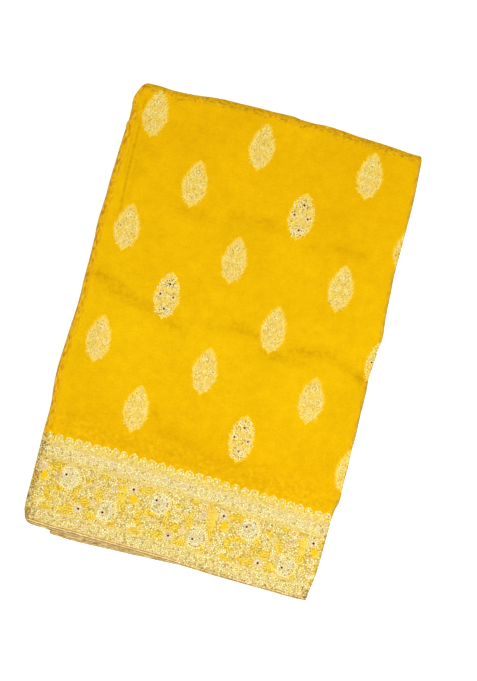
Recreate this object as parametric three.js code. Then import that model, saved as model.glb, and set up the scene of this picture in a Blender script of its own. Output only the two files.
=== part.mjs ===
// Georgette sari, folded flat for the shelf. Millimetres, +Z up.
//
// One woven length, about 1.15 m wide. It is pleated back and forth along its length into a long
// narrow stack, and the stack is then folded once across, selvedge to selvedge. The cross fold is
// the rounded +Y end, the woven borders meet at the -Y end, and the stack lies on its lower half.
// X runs along the sari's length, Y across its width.
//
// The cloth is one closed solid: a back-and-forth section in X and depth, swept from the lower
// half's selvedge up to the cross fold, round it, and back to the upper half's selvedge.
// Layer 0 is the innermost one, next to the middle of the stack. The last layer is the outermost,
// so it is the face that shows and also the face that lies on the surface.

import * as THREE from "three";
import { ParametricGeometry } from "three/addons/geometries/ParametricGeometry.js";
import {
  mergeGeometries,
  mergeVertices,
} from "three/addons/utils/BufferGeometryUtils.js";

// ---------- driving sizes ----------
const LAYERS = 7; // in each half, each of them standing for two or three plies of the real cloth
const SHEET = 1.0; // thickness of one modelled layer
const GAP = 0.32; // air between two layers
const PITCH = SHEET + GAP;
const HALF_STACK = LAYERS * PITCH - GAP / 2; // depth of one half, measured from the middle plane
const FOLD_REACH = PITCH / 2 + SHEET / 2; // from the centre of a fold's turn to its outside
const SHORT_LAYERS = 1; // innermost layers that stop short of the left fold
const SHARED_FROM = 0.37; // a short layer shares the others' grid lines from here on, across
const SIDE_DROP = 2 * PITCH * SHORT_LAYERS; // the upper half sinks this far where they are missing
const CORNER_INSET = 5; // how far the sides draw in at the very crest of the cross fold
const TURN_STEPS = 4; // facets round one fold of the section
const CROSS_FOLD_STEPS = 8; // facets round the cross fold

const CLOTH_COLOUR = 0xf6bd06;

// ---------- outline, seen from above ----------
// The two long sides.
const SIDES = [
  { y: 281, left: -178.0, right: 178.1 },
  { y: 268, left: -185.9, right: 179.4 },
  { y: 258, left: -187.5, right: 180.2 },
  { y: 239, left: -184.8, right: 181.2 },
  { y: 179, left: -187.1, right: 182.2 },
  { y: 120, left: -188.7, right: 183.4 },
  { y: 70, left: -187.2, right: 187.4 },
  { y: 48, left: -186.4, right: 189.6 },
  { y: 10, left: -184.9, right: 186.9 },
  { y: -47, left: -187.3, right: 189.7 },
  { y: -87, left: -189.3, right: 189.4 },
  { y: -126, left: -185.4, right: 190.4 },
  { y: -156, left: -184.2, right: 192.3 },
  { y: -178, left: -183.2, right: 187.6 },
  { y: -215, left: -182.2, right: 188.0 },
  { y: -255, left: -180.7, right: 185.6 },
  { y: -274, left: -177.6, right: 184.4 },
];
// Crest of the cross fold, a row for each grid line across the cloth.
const CREST = [
  { x: -187, y: 279.0 },
  { x: -174, y: 281.3 },
  { x: -150, y: 282.6 },
  { x: -49, y: 290.2 },
  { x: 44, y: 290.6 },
  { x: 138, y: 287.6 },
  { x: 187, y: 282.0 },
];
// Selvedge of the upper half.
const SELVEDGE = [
  { x: -184, y: -272.0 },
  { x: -167, y: -279.6 },
  { x: -100, y: -280.2 },
  { x: 20, y: -280.4 },
  { x: 70, y: -281.7 },
  { x: 158, y: -282.6 },
  { x: 178, y: -281.2 },
  { x: 186, y: -275.0 },
];
// Selvedge of the innermost layer of the lower half, which lies askew and shows past the rest.
const ASKEW_SELVEDGE = [
  { x: -140, y: -286.4 },
  { x: -99, y: -285.7 },
  { x: -58, y: -283.9 },
  { x: -18, y: -281.7 },
  { x: 25, y: -279.6 },
  { x: 185, y: -277.4 },
];

// ---------- the layers' side edges ----------
// Distance in from the outline, at the lower half's selvedge, at the cross fold and at the upper
// half's selvedge. "cut" rows are the sari's two ends, "fold" rows join a layer to the next one out.
const SIDE_EDGES = [
  { layer: 0, side: "left", kind: "cut", lower: 43.0, crest: 41.0, upper: 40.0 },
  { layer: 0, side: "right", kind: "fold", lower: 2.6, crest: 1.8, upper: 3.2 },
  { layer: 1, side: "left", kind: "fold", lower: 3.4, crest: 1.2, upper: 2.4 },
  { layer: 2, side: "right", kind: "fold", lower: 1.2, crest: 2.6, upper: 0.8 },
  { layer: 3, side: "left", kind: "fold", lower: 2.2, crest: 0.6, upper: 1.4 },
  { layer: 4, side: "right", kind: "fold", lower: 0.6, crest: 0.4, upper: 0.0 },
  { layer: 5, side: "left", kind: "fold", lower: 1.0, crest: 0.0, upper: 0.0 },
  { layer: 6, side: "right", kind: "cut", lower: 1.8, crest: 0.0, upper: 3.0 },
];
// How far each layer's selvedge stops short of the upper half's, in each half.
const SELVEDGE_STEPS = [
  { layer: 0, lower: 0.0, upper: 2.2 },
  { layer: 1, lower: 2.4, upper: 1.0 },
  { layer: 2, lower: 1.4, upper: 1.9 },
  { layer: 3, lower: 3.0, upper: 0.6 },
  { layer: 4, lower: 2.0, upper: 1.4 },
  { layer: 5, lower: 3.6, upper: -1.4 },
  { layer: 6, lower: 2.6, upper: 0.0 },
];

// ---------- the loft of the upper half ----------
// Swell of the upper half along its length, as a share of its depth.
const SWELL = [
  { y: 290, share: 0.0 },
  { y: 250, share: 0.035 },
  { y: 150, share: -0.01 },
  { y: 40, share: 0.03 },
  { y: -20, share: -0.035 },
  { y: -110, share: 0.025 },
  { y: -220, share: -0.02 },
  { y: -285, share: -0.05 },
];
// Where the grid lines run across a layer, and how much of SIDE_DROP is felt there.
const ACROSS = [
  { at: 0.0, drop: 1.0 },
  { at: 0.035, drop: 1.0 },
  { at: 0.1, drop: 0.0 },
  { at: 0.37, drop: 0.0 },
  { at: 0.62, drop: 0.0 },
  { at: 0.87, drop: 0.0 },
  { at: 1.0, drop: 0.0 },
];
// Where the grid lines run along a half, from the cross fold (0) to the selvedge (1).
const ALONG = [0, 0.06, 0.15, 0.27, 0.39, 0.52, 0.65, 0.76, 0.87, 0.96, 1];

// ---------- helpers ----------
const mix = THREE.MathUtils.lerp;

// Reads column `value` of a table at `where`, its rows ordered by column `key`.
function read(table, key, value, where) {
  const rows = [...table].sort((a, b) => a[key] - b[key]);
  if (where <= rows[0][key]) return rows[0][value];
  for (let i = 1; i < rows.length; i++) {
    const [a, b] = [rows[i - 1], rows[i]];
    if (where <= b[key])
      return mix(a[value], b[value], (where - a[key]) / (b[key] - a[key]));
  }
  return rows.at(-1)[value];
}

// Inset of a layer's edge at a station. h is -1 at the lower selvedge, 0 at the crest, 1 at the upper one.
function inset(layer, side, h) {
  const joined = SIDE_EDGES.find(
    (e) =>
      e.side === side &&
      (e.layer === layer || (e.kind === "fold" && e.layer === layer - 1)),
  );
  return h < 0
    ? mix(joined.crest, joined.lower, -h)
    : mix(joined.crest, joined.upper, h);
}

const isCut = (layer, side) =>
  SIDE_EDGES.some(
    (e) => e.layer === layer && e.side === side && e.kind === "cut",
  );
const depthOf = (layer) => GAP / 2 + SHEET / 2 + layer * PITCH;

// ---------- the section ----------
// Marks along the middle line of the cloth, from the inner cut end to the outer one. A flat mark
// has the layer and its place across; a turn mark has the two layers' fold and an angle round it.
function sectionMarks() {
  const marks = [];
  for (let layer = 0; layer < LAYERS; layer++) {
    const outward = layer % 2 === 0; // this layer is walked from left to right
    const row = outward ? ACROSS : [...ACROSS].reverse();
    row.forEach(({ at, drop }) => marks.push({ layer, at, drop, outward }));
    if (layer < LAYERS - 1)
      for (let i = 1; i < TURN_STEPS; i++)
        marks.push({
          layer,
          side: outward ? "right" : "left",
          angle: Math.PI * (i / TURN_STEPS - 0.5),
          drop: (outward ? ACROSS.at(-1) : ACROSS[0]).drop,
        });
  }
  return marks;
}

// Where a mark lies, on one face of the sheet (face is +1 or -1), at a station of the sweep.
function sectionPoint(mark, face, station) {
  const { left, right, h } = station;
  if (mark.angle === undefined) {
    const from =
      left +
      inset(mark.layer, "left", h) +
      (isCut(mark.layer, "left") ? 0 : FOLD_REACH);
    const to =
      right -
      inset(mark.layer, "right", h) -
      (isCut(mark.layer, "right") ? 0 : FOLD_REACH);
    const shared = mix(left + inset(SHORT_LAYERS, "left", h), to, SHARED_FROM);
    const short = mark.layer < SHORT_LAYERS && mark.at < SHARED_FROM;
    const start = mark.layer < SHORT_LAYERS ? left + FOLD_REACH : from;
    return {
      x: short
        ? mix(from, shared, mark.at / SHARED_FROM)
        : mix(start, to, mark.at),
      depth:
        depthOf(mark.layer) + (mark.outward ? face : -face) * (SHEET / 2),
    };
  }
  const sign = mark.side === "right" ? 1 : -1;
  const edge = mark.side === "right" ? right : left;
  const centre = edge - sign * (inset(mark.layer, mark.side, h) + FOLD_REACH);
  // Walking outwards, a right-hand fold has face +1 inside its turn and a left-hand one outside.
  const radius = PITCH / 2 - sign * face * (SHEET / 2);
  return {
    x: centre + sign * radius * Math.cos(mark.angle),
    depth: depthOf(mark.layer) + PITCH / 2 + radius * Math.sin(mark.angle),
  };
}

// ---------- the sweep ----------
const crestAt = (x) => read(CREST, "x", "y", x);
const foldLineAt = (x) => crestAt(x) - HALF_STACK;

// Stations from the lower selvedge, round the cross fold, to the upper selvedge.
function stations() {
  const nearEnd = read(CREST, "x", "y", 0) - HALF_STACK;
  const farEnd = read(SELVEDGE, "x", "y", 0);
  const straight = (share, upper) => {
    const y = mix(nearEnd, farEnd, share);
    return {
      upper,
      share,
      left: read(SIDES, "y", "left", y),
      right: read(SIDES, "y", "right", y),
      h: upper ? share : -share,
      turn: upper ? Math.PI / 2 : -Math.PI / 2,
    };
  };
  const list = [...ALONG].reverse().map((share) => straight(share, false));
  const start = straight(0, false);
  for (let i = 1; i < CROSS_FOLD_STEPS; i++) {
    const turn = Math.PI * (i / CROSS_FOLD_STEPS - 0.5);
    const drawn = CORNER_INSET * Math.cos(turn) ** 2;
    list.push({
      ...start,
      upper: turn > 0,
      left: start.left + drawn,
      right: start.right - drawn,
      turn,
    });
  }
  return list.concat(ALONG.map((share) => straight(share, true)));
}

// The selvedge that a layer ends on.
function selvedgeAt(layer, upper, x) {
  const step = SELVEDGE_STEPS.find((s) => s.layer === layer);
  if (!upper && layer < SHORT_LAYERS) return read(ASKEW_SELVEDGE, "x", "y", x);
  return read(SELVEDGE, "x", "y", x) + (upper ? step.upper : step.lower);
}

const MARKS = sectionMarks();
const STATIONS = stations();

function place(markIndex, face, stationIndex, target) {
  const mark = MARKS[markIndex];
  const station = STATIONS[stationIndex];
  const { x, depth } = sectionPoint(mark, face, station);
  const foldLine = foldLineAt(x);
  // A turn of the section belongs half to each of its two layers.
  const outer = mark.angle === undefined ? mark.layer : mark.layer + 1;
  const mixOut = mark.angle === undefined ? 0 : 0.5 + Math.sin(mark.angle) / 2;
  const end = mix(
    selvedgeAt(mark.layer, station.upper, x),
    selvedgeAt(outer, station.upper, x),
    mixOut,
  );
  const y =
    mix(foldLine, end, station.share) + depth * Math.cos(station.turn);
  const swell = station.upper ? 1 + read(SWELL, "y", "share", y) : 1;
  const sunk = mark.layer < SHORT_LAYERS && mark.side !== "left" ? 0 : mark.drop;
  const rise = Math.sin(station.turn);
  return target.set(
    x,
    y,
    HALF_STACK +
      depth * rise * swell -
      SIDE_DROP * sunk * (0.5 + 0.5 * rise),
  );
}

// ---------- the solid ----------
// The ring goes out along one face of the sheet and back along the other.
const RING = MARKS.length * 2;
function ringPoint(i, stationIndex, target) {
  const k = i % RING;
  return k < MARKS.length
    ? place(k, -1, stationIndex, target)
    : place(RING - 1 - k, 1, stationIndex, target);
}
const skin = new ParametricGeometry(
  (u, v, target) =>
    ringPoint(
      Math.round(u * RING),
      Math.round(v * (STATIONS.length - 1)),
      target,
    ),
  RING,
  STATIONS.length - 1,
);
// A selvedge closes the sheet between its two faces.
const selvedge = (stationIndex, flip) =>
  new ParametricGeometry(
    (u, v, target) =>
      place(
        Math.round(u * (MARKS.length - 1)),
        (Math.round(v) === 0) === flip ? -1 : 1,
        stationIndex,
        target,
      ),
    MARKS.length - 1,
    1,
  );
const parts = [
  skin,
  selvedge(0, false),
  selvedge(STATIONS.length - 1, true),
];
parts.forEach((g) => {
  g.deleteAttribute("normal");
  g.deleteAttribute("uv");
});
const clothGeometry = mergeVertices(mergeGeometries(parts), 1e-4);
clothGeometry.computeVertexNormals();
clothGeometry.computeBoundingBox();

const cloth = new THREE.Mesh(
  clothGeometry,
  new THREE.MeshStandardMaterial({
    color: CLOTH_COLOUR,
    roughness: 0.78,
    metalness: 0,
  }),
);
cloth.name = "sari_cloth";

// The origin is the middle of the footprint, on the surface that the sari lies on.
const box = clothGeometry.boundingBox;
cloth.position.set(
  -(box.min.x + box.max.x) / 2,
  -(box.min.y + box.max.y) / 2,
  -box.min.z,
);

const sari = new THREE.Group();
sari.add(cloth);

export default sari;
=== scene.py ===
import math

import bpy
import numpy as np
from mathutils import Matrix, Vector


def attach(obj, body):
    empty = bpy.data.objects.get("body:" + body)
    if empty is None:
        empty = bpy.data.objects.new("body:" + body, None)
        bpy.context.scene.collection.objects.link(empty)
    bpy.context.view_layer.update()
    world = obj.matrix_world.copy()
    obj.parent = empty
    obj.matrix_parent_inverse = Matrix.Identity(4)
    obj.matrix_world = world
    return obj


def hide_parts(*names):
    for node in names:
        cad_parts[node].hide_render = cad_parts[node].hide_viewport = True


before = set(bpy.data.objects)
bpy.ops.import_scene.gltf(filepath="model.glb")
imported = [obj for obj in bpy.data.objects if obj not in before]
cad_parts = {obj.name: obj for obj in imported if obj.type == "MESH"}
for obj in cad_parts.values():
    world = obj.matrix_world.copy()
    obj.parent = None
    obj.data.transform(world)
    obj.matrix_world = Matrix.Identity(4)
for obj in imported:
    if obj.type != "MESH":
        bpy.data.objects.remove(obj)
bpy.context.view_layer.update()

# Sizes are millimetres until a mesh is written. The tables use the outline's own frame, seen from
# above; CENTRE is the middle of the folded stack's footprint in that frame.
MM = 0.001
CENTRE = (1.2021, 2.1418)

# ------------------------------------------------------------------ the folded stack
PLIES = 17              # in each half
HALF = 9.08             # depth of one half, from the middle plane to the outer face
PLY = 0.30              # thickness of the georgette, crinkle included
PITCH = HALF / PLIES
REACH = PITCH / 2 + PLY / 2
SHORT_PLIES = 3         # the innermost plies stop short of the left fold
SHORT_LEFT = -146.2     # where they stop
SIDE_DROP = 2.64        # the upper half sinks this far over the missing ones
LOWER_LIFT = 0.36       # keeps the thread work of the underside clear of the surface
AIR = 0.75              # slack under the outermost ply, away from its edges
GRID = 3.5              # grid of the outermost ply

# y, left x, right x
SIDES = np.array([
    (284, -176.2, 177.4), (281, -179.2, 177.9), (279, -180.8, 178.1), (275, -182.8, 178.3),
    (270, -185.0, 178.8), (264, -187.0, 179.3), (257, -187.8, 179.7), (248, -186.0, 180.4),
    (239, -184.5, 181.1), (233.5, -183.9, 181.4), (231, -186.8, 181.6), (228, -187.6, 181.7),
    (220, -186.4, 182.0), (212, -186.6, 182.1), (200, -187.7, 182.2), (186, -187.5, 182.3),
    (173, -187.8, 182.5), (160, -188.5, 182.5), (146, -188.1, 182.6), (130, -188.1, 182.9),
    (112, -189.2, 184.6), (100, -189.6, 185.2), (84, -187.9, 186.4), (74, -187.4, 187.5),
    (60, -187.3, 189.4), (52, -187.0, 189.6), (41, -187.0, 188.1), (21, -186.8, 187.3),
    (8, -185.8, 186.2), (0, -186.0, 186.4), (-12, -186.2, 187.8), (-30, -187.4, 188.2),
    (-47, -187.9, 188.6), (-62, -188.6, 189.4), (-76, -189.3, 189.8), (-87, -189.4, 189.5),
    (-97, -189.0, 189.9), (-112, -187.6, 190.9), (-122, -185.8, 190.6), (-134, -185.0, 190.9),
    (-148, -184.6, 191.9), (-156, -185.1, 191.4), (-164, -185.4, 189.1), (-172, -185.1, 188.2),
    (-186, -184.6, 187.9), (-204, -184.1, 188.0), (-222, -183.8, 188.1), (-240, -183.7, 188.0),
    (-252, -183.7, 187.3), (-262, -183.2, 186.1), (-268, -182.2, 185.1), (-272, -181.2, 184.7),
    (-275, -180.0, 184.6), (-278, -177.8, 184.3), (-280.3, -174.4, 184.0), (-284, -171.0, 183.6),
])[::-1]
# x, y of the cross fold's crest
CREST = np.array([
    (-187, 281.4), (-178, 284.2), (-167, 284.9), (-157, 284.7), (-142, 283.6), (-128, 284.5),
    (-117, 285.0), (-104, 286.6), (-92, 288.5), (-78, 289.9), (-58, 290.0), (-36, 290.9),
    (-18, 291.3), (1, 291.7), (11, 292.1), (21, 290.6), (34, 290.5), (44, 291.1),
    (52, 292.3), (64, 291.9), (80, 290.8), (96, 289.7), (112, 289.0), (130, 288.4),
    (148, 287.5), (160, 286.6), (169, 286.3), (175, 286.4), (180, 285.2), (187, 284.4),
])
# x, y of the upper half's selvedge
HEM = np.array([
    (-190, -279.0), (-167, -280.2), (-147, -280.6), (-100, -280.5), (0, -280.8), (20, -281.4), (48, -282.2),
    (70, -283.0), (100, -283.0), (125, -283.1), (158, -283.4), (174, -283.2), (182, -282.6),
    (190, -282.0),
])
# x, y of the innermost plies' selvedge in the lower half, which lies askew
ASKEW = np.array([
    (-144, -287.7), (-138, -288.3), (-118, -289.1), (-104, -289.0), (-86, -288.2), (-68, -287.6),
    (-50, -286.8), (-31, -285.8), (-12, -284.5), (6, -283.4), (25, -282.5), (45, -281.4),
    (90, -279.4), (185, -277.6),
])
# y, share of depth by which the upper half swells along its length
SWELL = np.array([
    (-285, -0.055), (-262, -0.035), (-220, -0.012), (-172, 0.010), (-110, 0.020), (-60, 0.012),
    (-20, -0.020), (15, -0.028), (50, 0.018), (100, 0.010), (125, -0.006), (170, 0.012),
    (230, 0.020), (262, 0.006), (290, 0.0),
])
# Soft troughs of the upper half: from x, y, to x, y, width, depth. The long one across the middle
# is where the stack once lay folded smaller.
TROUGHS = [
    (-190, 42, -150, 34, 6.0, 0.40),
    (-150, 34, -112, 24, 6.0, 0.36),
    (-112, 24, -78, 17, 5.0, 0.34),
    (-76, 8, -52, 2, 5.0, 0.42),
    (-52, 4, -16, 16, 5.5, 0.34),
    (-16, 17, 40, 21, 6.0, 0.44),
    (40, 20, 60, 4, 5.0, 0.44),
    (60, 0, 84, 2, 4.5, 0.46),
    (84, 8, 132, 19, 6.0, 0.50),
    (132, 18, 172, 6, 6.0, 0.40),
    (170, 2, 190, -6, 6.0, 0.50),
    (-100, 144, -60, 146, 5.0, 0.26),
    (-34, 152, 14, 158, 5.0, 0.28),
    (14, 157, 66, 149, 5.0, 0.22),
    (104, 150, 142, 146, 5.0, 0.28),
    (-30, 64, 60, 62, 6.0, 0.14),
    (-66, -106, -40, -118, 5.0, 0.22),
    (-40, -122, 28, -134, 6.0, 0.22),
    (28, -138, 78, -136, 6.0, 0.20),
]
# Creases that run along the length
LONG_CREASES = [
    (-172.5, 262, -170.0, 205, 1.9, 0.42),
    (-171.0, 205, -168.0, 150, 1.9, 0.46),
    (-168.0, 150, -165.5, 118, 2.2, 0.24),
    (-176.0, 236, -173.0, 168, 1.6, 0.20),
    (131.0, 200, 134.0, -150, 3.2, 0.10),
]
# Where the cloth is painted darker: painted shade along the soft troughs and creases, and the darker show-through of
# the plies below
PAINTED_SHADE_PATCHES = [
    (-186, 43, -140, 32, 7.0, 0.75),
    (-152, 24, -90, 16, 8.5, 0.58),
    (-132, 30, -112, 26, 6.0, 0.35),
    (-84, 9, -50, 1, 8.0, 0.58),
    (-50, 10, -22, 18, 6.0, 0.30),
    (6, 22, 42, 18, 6.5, 0.62),
    (44, 40, 60, 34, 7.0, 0.28),
    (52, 1, 88, 0, 7.5, 0.58),
    (84, 12, 136, 18, 7.5, 0.82),
    (84, -4, 120, 0, 6.0, 0.28),
    (132, 14, 164, 8, 6.0, 0.35),
    (172, 2, 186, -6, 6.0, 0.95),
    (-96, 144, -66, 143, 7.0, 0.46),
    (-30, 153, 20, 157, 5.5, 0.48),
    (-12, 147, 34, 150, 6.0, 0.28),
    (74, 142, 86, 140, 4.0, 0.35),
    (106, 148, 142, 147, 5.5, 0.42),
    (-165, 206, -140, 202, 9.0, 0.38),
    (-168, 180, -150, 176, 8.0, 0.28),
    (-60, -106, -48, -116, 5.0, 0.55),
    (-44, -130, 4, -134, 6.0, 0.50),
    (24, -148, 66, -142, 6.0, 0.40),
    (-50, -124, -6, -134, 9.0, 0.42),
    (-2, -136, 50, -152, 9.0, 0.40),
    (-30, -150, 10, -158, 6.0, 0.34),
    (62, -156, 92, -158, 6.0, 0.30),
    (-112, -150, -66, -156, 6.0, 0.30),
    (-160, -138, -130, -134, 6.0, 0.34),
    (40, 66, -60, 64, 5.0, 0.15),
    (146, 66, 150, 40, 5.0, 0.22),
    (-20, -52, 8, -50, 5.0, 0.12),
]
# Painted shade along the long creases: from x, y, to x, y, width, strength
LONG_CREASE_SHADE = [
    (-172.0, 262, -170.0, 205, 1.3, 1.05),
    (-170.8, 205, -167.8, 150, 1.3, 1.18),
    (-168.0, 150, -165.5, 112, 1.6, 0.70),
    (-176.4, 240, -173.6, 168, 1.2, 0.60),
    (-163.5, 200, -161.0, 140, 1.3, 0.28),
]


def lattice(seed, shape):
    return np.random.default_rng(seed).uniform(-1, 1, shape)


def noise1(x, size, seed):
    """Smooth noise from -1 to 1, its swells about `size` long."""
    t = np.asarray(x, float) / size + 512.0
    i = np.floor(t).astype(int)
    f = t - i
    f = f * f * (3 - 2 * f)
    v = lattice(seed, 1024)
    return v[i % 1024] * (1 - f) + v[(i + 1) % 1024] * f


def noise2(x, y, size_x, size_y, seed):
    s = np.asarray(x, float) / size_x + 256.0
    t = np.asarray(y, float) / size_y + 256.0
    i, j = np.floor(s).astype(int), np.floor(t).astype(int)
    f, g = s - i, t - j
    f, g = f * f * (3 - 2 * f), g * g * (3 - 2 * g)
    v = lattice(seed, (512, 512))
    i0, i1, j0, j1 = i % 512, (i + 1) % 512, j % 512, (j + 1) % 512
    return (v[i0, j0] * (1 - f) + v[i1, j0] * f) * (1 - g) + (v[i0, j1] * (1 - f) + v[i1, j1] * f) * g


def ease(t):
    t = np.clip(t, 0, 1)
    return t * t * (3 - 2 * t)


def table(rows, at, column=1):
    return np.interp(at, rows[:, 0], rows[:, column])


def crest_y(x):
    return table(CREST, x)


def fold_y(x):
    return crest_y(x) - HALF


def hem_y(x):
    return table(HEM, x)


def askew_y(x):
    return table(ASKEW, x)


NEAR = float(fold_y(0.0))
FAR = float(hem_y(0.0))


def trough(x, y, rows):
    """Depth of the soft troughs at x, y."""
    d = np.zeros(np.broadcast(x, y).shape)
    for x0, y0, x1, y1, width, depth in rows:
        dx, dy = x1 - x0, y1 - y0
        t = ((x - x0) * dx + (y - y0) * dy) / (dx * dx + dy * dy)
        over = np.clip(np.abs(t - 0.5) - 0.5, 0, None) * math.hypot(dx, dy)
        t = np.clip(t, 0, 1)
        off = np.hypot(x - x0 - t * dx, y - y0 - t * dy)
        wob = 1 + 0.35 * noise2(x, y, 17, 17, 91)
        d = np.maximum(d, depth * wob * np.exp(-((off / width) ** 2)) * np.exp(-((over / 14) ** 2)))
    return d


# Grid lines across a ply: the outermost one is fine, the hidden ones are coarse.
U_FINE = np.unique(np.concatenate([
    [0, 0.0022, 0.006, 0.012, 0.018], np.linspace(0.0235, 0.072, 15), np.linspace(0.082, 0.965, int(0.883 * 374 / GRID)),
    [0.975, 0.985, 0.992, 0.9965, 1]]))
U_COARSE = np.array([0, 0.012, 0.035, 0.1, 0.37, 0.66, 0.92, 0.985, 1.0])
TURN = 4                # facets of one fold
ARC = 20                # facets of the cross fold
N_UP = int((NEAR - FAR) / GRID)
ALONG_UP = np.unique(np.concatenate([np.linspace(0, 1, N_UP), [0.0025, 0.9975, 0.9955, 0.991]]))
ALONG_LOW = np.unique(np.concatenate([np.linspace(0, 1, 40), [0.99, 0.9965]]))

# Stations run from the lower selvedge, round the cross fold, to the upper one.
_arc = np.arange(1, ARC) / ARC * np.pi - np.pi / 2
ST_SHARE = np.concatenate([ALONG_LOW[::-1], np.zeros(ARC - 1), ALONG_UP])
ST_TURN = np.concatenate([np.full(len(ALONG_LOW), -np.pi / 2), _arc, np.full(len(ALONG_UP), np.pi / 2)])
ST_UP = ST_TURN > 1e-6
ST_H = np.where(ST_TURN > 1.57, ST_SHARE, np.where(ST_TURN < -1.57, -ST_SHARE, 0.0))


def outline(column, start):
    """x of one side of the stack, station by station, and y where it is."""
    x = np.full(len(ST_SHARE), float(start))
    for _ in range(4):
        fold = fold_y(x)
        y = fold + (hem_y(x) - fold) * ST_SHARE + HALF * np.cos(ST_TURN)
        x = table(SIDES, y, column)
    return x


_corner = 1 - np.abs(np.sin(ST_TURN))
ST_LEFT = outline(1, -180)
ST_RIGHT = outline(2, 180) - 1.5 * _corner
ST_Y = NEAR + (FAR - NEAR) * ST_SHARE
S = len(ST_SHARE)
UPPER_START = len(ALONG_LOW) + ARC - 1


def fold_inset(j, side):
    """How far fold j (between plies j and j+1) stays in from the outline, station by station."""
    rng = np.random.default_rng(500 + j)
    top = j >= PLIES - 3
    base_up = rng.uniform(0.0, 0.35) if top else rng.uniform(0.2, 2.2)
    base_low = rng.uniform(0.5, 3.0)
    amp = 0.25 if top else rng.uniform(0.25, 0.75)
    wave = noise1(ST_H * 560 + 37 * j, 95, 900 + j) * amp + noise1(ST_H * 560, 28, 940 + j) * amp * 0.3
    mixed = ease((ST_H + 0.12) / 0.24)
    inset = base_low * (1 - mixed) + base_up * mixed + wave
    if j < SHORT_PLIES and side == "left":
        inset = inset * 0.2 + SHORT_LEFT + 0.9 * j - ST_LEFT
    return np.clip(inset, 0.0, None)


def cut_inset(layer, side):
    if layer == 0:
        return SHORT_LEFT + 0.4 * noise1(ST_H * 560, 60, 77) - ST_LEFT
    # the outer cut end draws in a little along the border
    low = 1.8 * ease(-ST_H / 0.3)
    return np.clip(low + 0.12 * noise1(ST_H * 560, 9, 78), 0, None)


def side_insets(layer):
    even = layer % 2 == 0
    left = (cut_inset(0, "left") if layer == 0 else fold_inset(layer - 1, "left")) if even else fold_inset(layer, "left")
    right = (cut_inset(layer, "right") if layer == PLIES - 1 else fold_inset(layer, "right")) if even else fold_inset(layer - 1, "right")
    return left, right


def hem_step(layer, x, upper):
    """How far a ply's selvedge stops short of the upper half's outline."""
    rng = np.random.default_rng(700 + layer)
    a, b, c, d = rng.uniform(0, 1, 4)
    if upper:
        if layer == PLIES - 1:
            return np.zeros_like(x)
        step = 0.4 + 2.4 * a + 0.9 * (b - 0.5) * x / 180
        if layer >= PLIES - 4:  # the plies just under the top one show past it at the left corner
            k = PLIES - 1 - layer
            step = np.where(True, 0.5 + 0.2 * k - (1.5 + 0.5 * k) * ease((-60 - x) / 60) * (1 - ease((-168 - x) / 12) * 0.6), 0)
        return step + 0.25 * noise1(x, 40, 720 + layer)
    return 1.6 + 2.6 * c + 1.2 * (d - 0.5) * x / 180 + 0.25 * noise1(x, 40, 760 + layer)


def ply_end(layer, x, upper):
    if not upper and layer < SHORT_PLIES:
        return askew_y(x) + 2.1 * (SHORT_PLIES - 1 - layer) * (1 - 0.5 * ease((x + 60) / 120)) + 0.15 * noise1(x, 22, 780 + layer)
    return hem_y(x) + hem_step(layer, x, upper)


# ---- marks along the middle line of the section
marks = []
for layer in range(PLIES):
    outward = layer % 2 == 0
    row = U_FINE if layer == PLIES - 1 else U_COARSE
    for u in (row if outward else row[::-1]):
        marks.append((layer, 0, u, 0.0, outward))
    if layer < PLIES - 1:
        for i in range(1, TURN):
            marks.append((layer, 1, 0.0, math.pi * (i / TURN - 0.5), outward))
M_LAYER = np.array([m[0] for m in marks])
M_TURN = np.array([m[1] for m in marks], bool)
M_U = np.array([m[2] for m in marks])
M_ANGLE = np.array([m[3] for m in marks])
M_OUT = np.array([m[4] for m in marks], bool)
M = len(marks)

INSETS = [side_insets(k) for k in range(PLIES)]


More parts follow.
